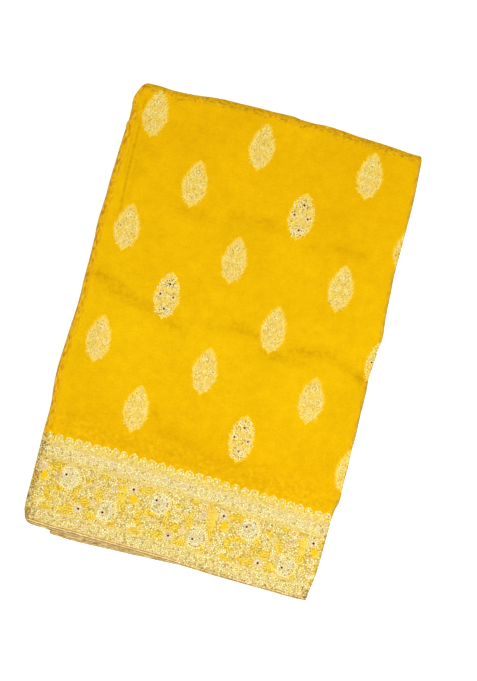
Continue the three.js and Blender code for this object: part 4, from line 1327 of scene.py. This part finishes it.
        # white rays near the foot
        for ang in np.linspace(1.25, 2.75, 6):
            q = np.array([3.6, 6.5, 9.4])
            cord(p0 + 92.0, 88.6, q * math.cos(ang), q * math.sin(ang), [0.7, 1.2, 0.8], 0.3, mixed(1, (0.6, "white"), (0.4, "lemon"))[0], base=0.1)
        busy.append((p0 + 89.0, 83.0, 5.8, 4.6, 2.2, creams))
        # beaded heads
        for fp, fd, rad, tone in (
            (p0 + 18.6, 37.4, 3.7, "white"), (p0 + 30.8, 37.0, 2.9, "lemon"), (p0 + 55.0, 37.0, 3.8, "bright"), (p0 + 57.6, 46.4, 3.4, "lilac"),
            (p0 + 26.0, 61.0, 3.4, "white"), (p0 + 33.8, 53.4, 2.9, "rose"), (p0 + 84.4, 65.0, 4.3, "bright"), (p0 + 104.0, 70.4, 3.2, "green"),
            (p0 + 76.6, 79.8, 3.7, "white"), (p0 + 50.8, 53.6, 2.8, "rose"), (p0 + 102.0, 50.6, 2.9, "lilac"), (p0 + 1.2, 72.6, 3.4, "lemon"),
            (p0 - 5.8, 79.4, 3.3, "white"), (p0 + 100.6, 84.6, 2.9, "lemon"), (p0 + 64.0, 38.0, 2.6, "rose"), (p0 + 21.4, 50.6, 2.7, "white"),
        ):
            head(fp, fd, rad, tone)
    filling(32.4, 92.4, 3, 2.75, 15000, ((0.09, "bright"), (0.24, "white"), (0.23, "butter"), (0.17, "lemon"), (0.12, "rose"), (0.08, "green"), (0.07, "khaki")), 1750)

    # -- lower band: small flowers on a close ground
    busy.clear()
    for i in range(-17, 17):
        even = i % 2 == 0
        p0 = -1.4 + i * 11.53
        d0 = (99.8 if even else 103.4) + float(rng.uniform(-0.6, 0.6))
        rad = 3.3 if even else 2.6
        n = 8 if even else 6
        t = np.linspace(0, 2 * np.pi, n, endpoint=False) + i
        q = rad * rng.uniform(0.82, 1.12, n)
        bd(p0, d0, q * np.cos(t), q * np.sin(t), rng.uniform(0.8, 1.3, n), 0.34, mixed(n, (0.10, "bright"), (0.30, "white"), (0.45, "lemon"), (0.15, "rose")))
        bd(p0, d0, rad * 0.5 * np.cos(t), rad * 0.5 * np.sin(t), 0.55, 0.14, "dull")
        bd(p0, d0, 0, 0, 0.9, 0.34, "lemon" if i % 2 else "white")
        busy.append((p0, d0, rad + 1.1, rad + 1.1, 0.0, None))
    filling(95.8, 107.8, 1, 2.65, 3000, ((0.07, "bright"), (0.20, "white"), (0.25, "butter"), (0.20, "lemon"), (0.12, "rose"), (0.10, "green"), (0.06, "khaki")), 430)
    # -- short floats along the hem
    for d0, tones in ((109.4, ((0.5, "dull"), (0.5, linear((206, 158, 88))))), (111.0, ((0.5, "white"), (0.5, linear((250, 214, 140))))), (112.6, ((0.6, linear((176, 128, 70))), (0.4, "butter")))):
        k = 130
        p = np.linspace(-192, 193, k) + rng.uniform(-1.6, 1.6, k)
        keep = rng.random(k) < 0.72
        n = int(keep.sum())
        st(p[keep], np.full(n, d0) + rng.uniform(-0.3, 0.3, n), 0, 0, rng.normal(0, 0.05, n), rng.uniform(1.6, 4.6, n), 0.8, 0.22, mixed(n, *tones), base=0.08)
    # -- painted shade: dark flecks, some orange, where the ends curl over
    for lo, hi, k, d0, d1 in ((-188, -177, 230, 2, 112), (-180, -168, 90, 1, 110), (183.5, 190.5, 70, 2, 112), (172, 186, 46, 98, 112), (-182, -166, 60, 98, 112)):
        x = np.minimum(rng.uniform(lo, hi, k), rng.uniform(lo, hi, k)) if lo < 0 else np.maximum(rng.uniform(lo, hi, k), rng.uniform(lo, hi, k))
        bd(x * place.end, rng.uniform(d0, d1, k), 0, 0, rng.uniform(0.5, 0.85, k), 0.25, mixed(k, (0.45, "brown"), (0.35, "shade"), (0.20, linear((214, 150, 40)))), base=0.22)
    # -- selvedge cords
    for d, w, tone in ((108.9, 1.0, linear((248, 218, 142))), (110.2, 1.15, linear((188, 144, 76))), (111.5, 1.1, linear((250, 224, 156))), (112.8, 1.15, linear((160, 118, 58))), (113.7, 0.8, linear((234, 202, 126)))):
        p = np.arange(-192, 196, 4.0)
        sunk = 1.0 if d > 112 else np.interp(p, [-10, 60], [1.0, 0.42])
        line(d, w * (0.8 + 0.35 * noise1(p, 9, seed + int(d))) * sunk, 0.2, tone, base=0.05, wave=0.25)
    k = 170
    p, d = 10 + 180 * rng.uniform(0, 1, k) ** 0.8, rng.uniform(107.6, 112.4, k)
    bd(p, d, 0, 0, rng.uniform(0.6, 1.05, k), 0.3, mixed(k, (0.20, "white"), (0.34, "lemon"), (0.16, linear((240, 200, 130))), (0.16, "dull"), (0.14, "shade")), base=0.16)


def place_upper(p, d):
    edge = border_edge(p)
    return p, edge - d * (edge - hem_y(p)) / BORDER


place_upper.sign, place_upper.end = 1, 1

th = Threads(21)
border(th, 31, place_upper)
border_top = th.finish("zari_border", (-292, -158))


def place_lower(p, d):
    a = -p
    fold = fold_y(a)
    end = fold + math.pi * HALF + (fold - ply_end(PLIES - 1, a, False))
    return a, end - (BORDER - d)


place_lower.sign, place_lower.end = 1, -1

th = Threads(22)
border(th, 37, place_lower)
border_under = th.finish("zari_border_under", (B_ALL - 128, B_ALL + 8))

# ------------------------------------------------------------------ materials


def node_material(name):
    mat = bpy.data.materials.new(name)
    mat.use_nodes = True
    nt = mat.node_tree
    for n in list(nt.nodes):
        nt.nodes.remove(n)
    out = nt.nodes.new("ShaderNodeOutputMaterial")
    bsdf = nt.nodes.new("ShaderNodeBsdfPrincipled")
    nt.links.new(bsdf.outputs[0], out.inputs[0])
    return mat, nt, bsdf


class Nodes:
    def __init__(self, nt):
        self.nt = nt

    def new(self, kind, **props):
        n = self.nt.nodes.new(kind)
        for k, v in props.items():
            setattr(n, k, v)
        return n

    def link(self, a, b):
        self.nt.links.new(a, b)

    def put(self, value, socket):
        if hasattr(value, "node"):
            self.link(value, socket)
        else:
            socket.default_value = value

    def math(self, op, a, b=0.0, c=0.0, clamp=False):
        n = self.new("ShaderNodeMath", operation=op, use_clamp=clamp)
        for v, s in zip((a, b, c), n.inputs):
            self.put(v, s)
        return n.outputs[0]

    def mix(self, fac, a, b, blend="MIX"):
        n = self.new("ShaderNodeMix", data_type="RGBA", blend_type=blend)
        self.put(fac, n.inputs["Factor"])
        for v, s in ((a, n.inputs[6]), (b, n.inputs[7])):
            if hasattr(v, "node"):
                self.link(v, s)
            else:
                s.default_value = (*v, 1.0)
        return n.outputs[2]

    def noise(self, vector, scale, detail=2.0, rough=0.5, distort=0.0):
        n = self.new("ShaderNodeTexNoise")
        self.link(vector, n.inputs["Vector"])
        n.inputs["Scale"].default_value = scale
        n.inputs["Detail"].default_value = detail
        n.inputs["Roughness"].default_value = rough
        n.inputs["Distortion"].default_value = distort
        return n.outputs["Fac"]

    def map(self, value, lo, hi, to_lo=0.0, to_hi=1.0):
        n = self.new("ShaderNodeMapRange", clamp=True)
        self.put(value, n.inputs["Value"])
        for v, i in ((lo, 1), (hi, 2), (to_lo, 3), (to_hi, 4)):
            n.inputs[i].default_value = v
        return n.outputs[0]

    def scaled(self, vector, sx, sy, sz=1.0):
        n = self.new("ShaderNodeVectorMath", operation="MULTIPLY")
        self.link(vector, n.inputs[0])
        n.inputs[1].default_value = (sx, sy, sz)
        return n.outputs[0]

    def attribute(self, name):
        return self.new("ShaderNodeAttribute", attribute_name=name)


def c3(r, g, b):
    return tuple(float(v) for v in linear((r, g, b)))


def georgette():
    mat, nt, bsdf = node_material("georgette_yellow")
    n = Nodes(nt)
    uv = n.new("ShaderNodeUVMap", uv_map="Weave").outputs[0]
    sep = n.new("ShaderNodeSeparateXYZ")
    n.link(uv, sep.inputs[0])
    v = sep.outputs[1]
    mirrored = n.math("MINIMUM", v, n.math("SUBTRACT", 1.150, v))
    # the ground: slubs in warp and weft, a fine grain and broad uneven dye
    weft = n.noise(n.scaled(uv, 70, 800), 1.0, 2, 0.6)
    warp = n.noise(n.scaled(uv, 800, 70), 1.0, 2, 0.6)
    grain = n.noise(uv, 420, 3, 0.65)
    broad = n.noise(uv, 14, 3, 0.55)
    blotch = n.noise(uv, 80, 3, 0.6)
    tone = n.math("ADD", n.math("ADD", n.math("MULTIPLY", weft, 0.6), n.math("MULTIPLY", warp, 0.5)), n.math("MULTIPLY", grain, 1.0))
    tone = n.math("ADD", tone, n.math("ADD", n.math("MULTIPLY", blotch, 0.7), n.math("MULTIPLY", broad, 0.8)))
    tone = n.map(tone, 1.44, 2.16)
    # Painted shade: the ground darkens towards the cross fold. Just above the border it is a little darker again.
    high = n.mix(tone, c3(227, 171, 2), c3(248, 192, 5))
    low = n.mix(tone, c3(230, 178, 3), c3(250, 200, 7))
    ground = n.mix(n.map(mirrored, 0.20, 0.50), low, high)
    near = n.mix(tone, c3(226, 169, 2), c3(246, 192, 5))
    ground = n.mix(n.map(mirrored, 0.15, 0.27), near, ground)
    # plies that show through near the border, as small spots
    spots = n.map(n.noise(uv, 150, 2, 0.5), 0.46, 0.60)
    flares = n.map(n.noise(n.scaled(uv, 150, 210), 1.0, 3, 0.6), 0.52, 0.62)
    under = n.attribute("under").outputs["Fac"]
    ground = n.mix(n.math("MULTIPLY", under, 0.22), ground, c3(234, 172, 3))
    ground = n.mix(n.math("MULTIPLY", n.math("MULTIPLY", spots, under), 0.46), ground, c3(216, 162, 6))
    ground = n.mix(n.math("MULTIPLY", n.math("MULTIPLY", flares, under), 0.58), ground, c3(249, 197, 22))
    # Painted shade in the troughs and creases, mottled, with a darker core
    crease_shade = n.attribute("crease_shade").outputs["Fac"]
    mottle = n.map(n.noise(uv, 190, 3, 0.62), 0.40, 0.60, 0.1, 1.0)
    cn = n.math("MULTIPLY", crease_shade, mottle, clamp=True)
    ground = n.mix(n.math("MULTIPLY", crease_shade, 0.46, clamp=True), ground, c3(226, 168, 2))
    ground = n.mix(n.math("MULTIPLY", cn, 0.60), ground, c3(196, 140, 2))
    # Painted shade over the cross fold's crest, mottled with olive and dark specks of shade and a few painted glints
    crest = n.attribute("crest").outputs["Fac"]
    crest = n.map(n.math("ADD", crest, n.math("MULTIPLY", n.math("SUBTRACT", n.noise(n.scaled(uv, 55, 130), 1.0, 2, 0.6), 0.5), 1.5)), 0.30, 0.80)
    crest_shade_speck = n.map(n.noise(n.scaled(uv, 200, 330), 1.0, 2, 0.6), 0.53, 0.61)
    glow = n.map(n.noise(uv, 380, 2, 0.5), 0.52, 0.60)
    ground = n.mix(n.math("MULTIPLY", crest, 0.55), ground, n.mix(n.map(n.noise(uv, 100, 2, 0.5), 0.44, 0.56), c3(212, 160, 3), c3(242, 174, 8)))
    crest_olive_shade = n.map(n.noise(uv, 210, 2, 0.5), 0.54, 0.62)
    ground = n.mix(n.math("MULTIPLY", n.math("MULTIPLY", crest, crest_olive_shade), 0.55), ground, c3(204, 168, 4))
    ground = n.mix(n.math("MULTIPLY", n.math("MULTIPLY", crest, glow), 0.66), ground, c3(254, 196, 44))
    ground = n.mix(n.math("MULTIPLY", n.math("MULTIPLY", crest, crest_shade_speck), 0.58), ground, c3(172, 120, 6))
    # the border's woven ground, band by band from the selvedge
    ramp = n.new("ShaderNodeValToRGB")
    ramp.color_ramp.interpolation = "CONSTANT"
    bands = [
        (0.0, (156, 118, 64)), (0.9, (240, 208, 136)), (1.9, (180, 142, 82)), (2.9, (246, 218, 150)), (4.0, (200, 164, 100)), (4.9, (238, 208, 132)),
        (6.2, (221, 195, 110)), (18.6, (232, 203, 112)), (21.8, (221, 191, 94)), (82.4, (234, 207, 118)), (85.0, (232, 204, 116)),
        (86.4, (236, 210, 128)), (88.4, (230, 206, 126)), (99.0, (236, 209, 124)), (101.2, (238, 210, 120)), (103.2, (235, 206, 112)),
        (105.2, (228, 198, 94)), (109.6, (242, 188, 8)),
    ]
    els = ramp.color_ramp.elements
    for i, (pos, col) in enumerate(bands):
        e = els[i] if i < 2 else els.new(pos / 120)
        e.position = pos / 120
        e.color = (*c3(*col), 1)
    n.link(n.math("DIVIDE", mirrored, 0.120, clamp=True), ramp.inputs[0])
    band_colour = n.mix(n.map(n.noise(uv, 420, 2, 0.6), 0.48, 0.60, 0.0, 0.46), ramp.outputs[0], c3(252, 236, 164))
    band_colour = n.mix(n.map(n.noise(n.scaled(uv, 420, 560), 1.0, 2, 0.6), 0.49, 0.61, 0.0, 0.60), band_colour, c3(182, 154, 88))
    gold_here = n.math("MAXIMUM", n.attribute("gilt").outputs["Fac"], n.math("MULTIPLY", n.map(n.noise(uv, 75, 2, 0.5), 0.48, 0.58), n.math("SUBTRACT", 1.0, n.attribute("face").outputs["Fac"])))
    gold_here = n.math("ADD", gold_here, n.map(n.noise(uv, 95, 2, 0.5), 0.50, 0.62, 0.0, 0.35), clamp=True)
    in_main = n.math("MULTIPLY", n.math("GREATER_THAN", mirrored, 0.0218), n.math("LESS_THAN", mirrored, 0.0822))
    gold_tone = n.mix(n.map(n.noise(uv, 330, 2, 0.6), 0.44, 0.58), c3(238, 188, 14), c3(250, 206, 34))
    band_colour = n.mix(n.math("MULTIPLY", n.math("MULTIPLY", gold_here, in_main), 0.90), band_colour, gold_tone)
    # the selvedge's own yarns, light and dark by turns
    in_hem = n.math("LESS_THAN", mirrored, 0.0058)
    band_colour = n.mix(n.math("MULTIPLY", in_hem, n.map(n.noise(n.scaled(uv, 90, 900), 1.0, 2, 0.6), 0.50, 0.58, 0.0, 0.85)), band_colour, c3(252, 226, 158))
    band_colour = n.mix(n.math("MULTIPLY", in_hem, n.map(n.noise(n.scaled(uv, 110, 1000), 1.0, 2, 0.6), 0.51, 0.59, 0.0, 0.80)), band_colour, c3(142, 98, 46))
    in_border = n.math("LESS_THAN", mirrored, 0.1096)
    colour = n.mix(in_border, ground, band_colour)
    # Painted light and shade of the rounded folds: a deeper orange where light passes several plies, lighter glints and
    # darker specks on their crinkles
    edge = n.attribute("fold_edge").outputs["Fac"]
    in_field = n.math("SUBTRACT", 1.0, in_border)
    edge_orange = n.math("MULTIPLY", edge, n.map(n.noise(uv, 170, 3, 0.6), 0.42, 0.58, 0.20, 1.0))
    colour = n.mix(n.math("MULTIPLY", edge_orange, 0.84), colour, n.mix(in_field, c3(206, 164, 72), c3(226, 160, 6)))
    edge_glow = n.math("MULTIPLY", edge, n.map(n.noise(n.scaled(uv, 420, 120), 1.0, 2, 0.5), 0.50, 0.58))
    colour = n.mix(n.math("MULTIPLY", edge_glow, 0.80), colour, n.mix(in_field, c3(242, 206, 120), c3(252, 196, 44)))
    edge_shade_speck = n.math("MULTIPLY", edge, n.map(n.noise(n.scaled(uv, 440, 110), 1.0, 2, 0.5), 0.50, 0.58))
    colour = n.mix(n.math("MULTIPLY", edge_shade_speck, 0.90), colour, n.mix(in_field, c3(150, 112, 46), c3(186, 130, 6)))
    # Painted shade: a darker olive rim along the outline and the cross fold's crest
    rim = n.attribute("rim").outputs["Fac"]
    rim = n.math("MULTIPLY", rim, n.map(n.noise(uv, 150, 2, 0.5), 0.38, 0.62, 0.40, 1.0))
    colour = n.mix(n.math("MULTIPLY", rim, 0.90), colour, n.mix(crest, c3(148, 138, 90), c3(176, 142, 46)))
    n.link(colour, bsdf.inputs["Base Color"])
    bsdf.inputs["Roughness"].default_value = 0.78
    bsdf.inputs["Specular IOR Level"].default_value = 0.04
    bsdf.inputs["Specular Tint"].default_value = (1.0, 0.82, 0.30, 1)
    bsdf.inputs["Sheen Weight"].default_value = 0.04
    bsdf.inputs["Sheen Roughness"].default_value = 0.45
    bsdf.inputs["Sheen Tint"].default_value = (1.0, 0.72, 0.08, 1)
    # crepe surface: pebbled yarns with a slight waviness
    wave_w = n.new("ShaderNodeTexWave", wave_type="BANDS", bands_direction="X")
    n.link(n.scaled(uv, 1, 1), wave_w.inputs["Vector"])
    wave_w.inputs["Scale"].default_value = 300
    wave_w.inputs["Distortion"].default_value = 2.5
    wave_w.inputs["Detail"].default_value = 1
    wave_f = n.new("ShaderNodeTexWave", wave_type="BANDS", bands_direction="Y")
    n.link(n.scaled(uv, 1, 1), wave_f.inputs["Vector"])
    wave_f.inputs["Scale"].default_value = 300
    wave_f.inputs["Distortion"].default_value = 2.5
    wave_f.inputs["Detail"].default_value = 1
    height = n.math("ADD", n.math("MULTIPLY", wave_w.outputs["Fac"], 0.30), n.math("MULTIPLY", wave_f.outputs["Fac"], 0.30))
    height = n.math("ADD", height, n.math("MULTIPLY", n.noise(uv, 900, 2, 0.6), 0.6))
    height = n.math("ADD", height, n.math("MULTIPLY", n.noise(uv, 130, 2, 0.5), 1.4))
    height = n.math("SUBTRACT", height, n.math("MULTIPLY", n.math("ADD", cn, n.math("MULTIPLY", crest, crest_shade_speck)), 1.6))
    bump = n.new("ShaderNodeBump")
    bump.inputs["Strength"].default_value = 0.5
    bump.inputs["Distance"].default_value = 0.00035
    n.link(height, bump.inputs["Height"])
    n.link(bump.outputs[0], bsdf.inputs["Normal"])
    return mat


def zari():
    mat, nt, bsdf = node_material("zari_thread")
    n = Nodes(nt)
    col = n.attribute("thread").outputs["Color"]
    pos = n.new("ShaderNodeTexCoord").outputs["Object"]
    drawn = n.new("ShaderNodeTexWave", wave_type="BANDS", bands_direction="Y")
    n.link(pos, drawn.inputs["Vector"])
    drawn.inputs["Scale"].default_value = 760
    drawn.inputs["Distortion"].default_value = 3.0
    drawn.inputs["Detail"].default_value = 1
    drawn.inputs["Detail Scale"].default_value = 0.6
    strand = drawn.outputs["Fac"]
    fine = n.math("ADD", n.map(n.noise(pos, 1400, 2, 0.6), 0.3, 0.7, 0.86, 1.02), n.math("MULTIPLY", strand, 0.10))
    tint = n.new("ShaderNodeVectorMath", operation="SCALE")
    n.link(col, tint.inputs[0])
    n.link(fine, tint.inputs["Scale"])
    n.link(tint.outputs[0], bsdf.inputs["Base Color"])
    bsdf.inputs["Metallic"].default_value = 0.0
    bsdf.inputs["Roughness"].default_value = 0.38
    bsdf.inputs["Specular IOR Level"].default_value = 0.08
    bsdf.inputs["Specular Tint"].default_value = (1.0, 0.93, 0.66, 1)
    bump = n.new("ShaderNodeBump")
    bump.inputs["Strength"].default_value = 0.35
    bump.inputs["Distance"].default_value = 0.00012
    n.link(n.math("ADD", n.noise(n.scaled(pos, 1600, 1600, 1600), 1.0, 1, 0.5), n.math("MULTIPLY", strand, 1.2)), bump.inputs["Height"])
    n.link(bump.outputs[0], bsdf.inputs["Normal"])
    return mat


def floor_paper():
    mat, nt, bsdf = node_material("pale_floor")
    n = Nodes(nt)
    pos = n.new("ShaderNodeTexCoord").outputs["Object"]
    fac = n.map(n.noise(pos, 3.0, 2, 0.5), 0.3, 0.7, 0.0, 1.0)
    n.link(n.mix(fac, (0.80, 0.80, 0.80), (0.82, 0.82, 0.815)), bsdf.inputs["Base Color"])
    bsdf.inputs["Roughness"].default_value = 0.9
    bsdf.inputs["Specular IOR Level"].default_value = 0.1
    bsdf.inputs["Emission Color"].default_value = (1, 1, 1, 1)
    bsdf.inputs["Emission Strength"].default_value = 0.55
    return mat


cloth.data.materials.append(georgette())
thread = zari()
thread_pieces = [leaves_top, leaves_under, border_top, border_under]
for ob in thread_pieces:
    ob.data.materials.append(thread)

# ------------------------------------------------------------------ floor, light, camera
me = bpy.data.meshes.new("floor")
me.from_pydata([(-4, -4, 0), (4, -4, 0), (4, 4, 0), (-4, 4, 0)], [], [(0, 1, 2, 3)])
floor = bpy.data.objects.new("floor", me)
floor.location.z = -0.0004
bpy.context.scene.collection.objects.link(floor)
me.materials.append(floor_paper())

world = bpy.data.worlds.new("studio")
bpy.context.scene.world = world
world.use_nodes = True
bg = world.node_tree.nodes["Background"]
bg.inputs["Color"].default_value = (1.0, 1.0, 1.0, 1)
bg.inputs["Strength"].default_value = 0.62


def soft_box(name, place, target, size, power):
    data = bpy.data.lights.new(name, "AREA")
    data.shape = "RECTANGLE"
    data.size, data.size_y = size
    data.energy = power
    ob = bpy.data.objects.new(name, data)
    ob.location = place
    ob.rotation_mode = "QUATERNION"
    ob.rotation_quaternion = (Vector(target) - Vector(place)).to_track_quat("-Z", "Y")
    bpy.context.scene.collection.objects.link(ob)
    return ob


soft_box("key", (0.9, -1.35, 1.55), (0, 0, 0), (0.8, 0.8), 26.0)
soft_box("fill", (-1.3, 0.7, 2.0), (0, 0, 0), (1.6, 1.6), 9.0)

# The camera looks straight down; the stack lies turned clockwise in the picture.
PX = 1.2366             # millimetres to a picture pixel, at the face of the stack
LEAN = math.radians(15.4)
PICTURE = (477, 681)
LENS, SENSOR = 90.0, 36.0
target = Vector(((18.31 - CENTRE[0]) * MM, (5.69 - CENTRE[1]) * MM, 2 * HALF * MM))
distance = PICTURE[1] * PX * MM * LENS / SENSOR
cam_data = bpy.data.cameras.new("camera")
cam_data.lens, cam_data.sensor_width = LENS, SENSOR
cam_data.clip_start, cam_data.clip_end = 0.1, 50
camera = bpy.data.objects.new("camera", cam_data)
bpy.context.scene.collection.objects.link(camera)
right = Vector((math.cos(LEAN), math.sin(LEAN), 0))
up = Vector((-math.sin(LEAN), math.cos(LEAN), 0))
back = right.cross(up)
camera.matrix_world = Matrix((
    (right.x, up.x, back.x, target.x + back.x * distance),
    (right.y, up.y, back.y, target.y + back.y * distance),
    (right.z, up.z, back.z, target.z + back.z * distance),
    (0, 0, 0, 1)))
bpy.context.scene.camera = camera

view = bpy.context.scene.view_settings
view.view_transform = "Standard"
view.look = "None"
view.exposure, view.gamma = 0.0, 1.0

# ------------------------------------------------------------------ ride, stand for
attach(cloth, "root")
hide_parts("sari_cloth")
for ob in thread_pieces:
    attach(ob, "root")
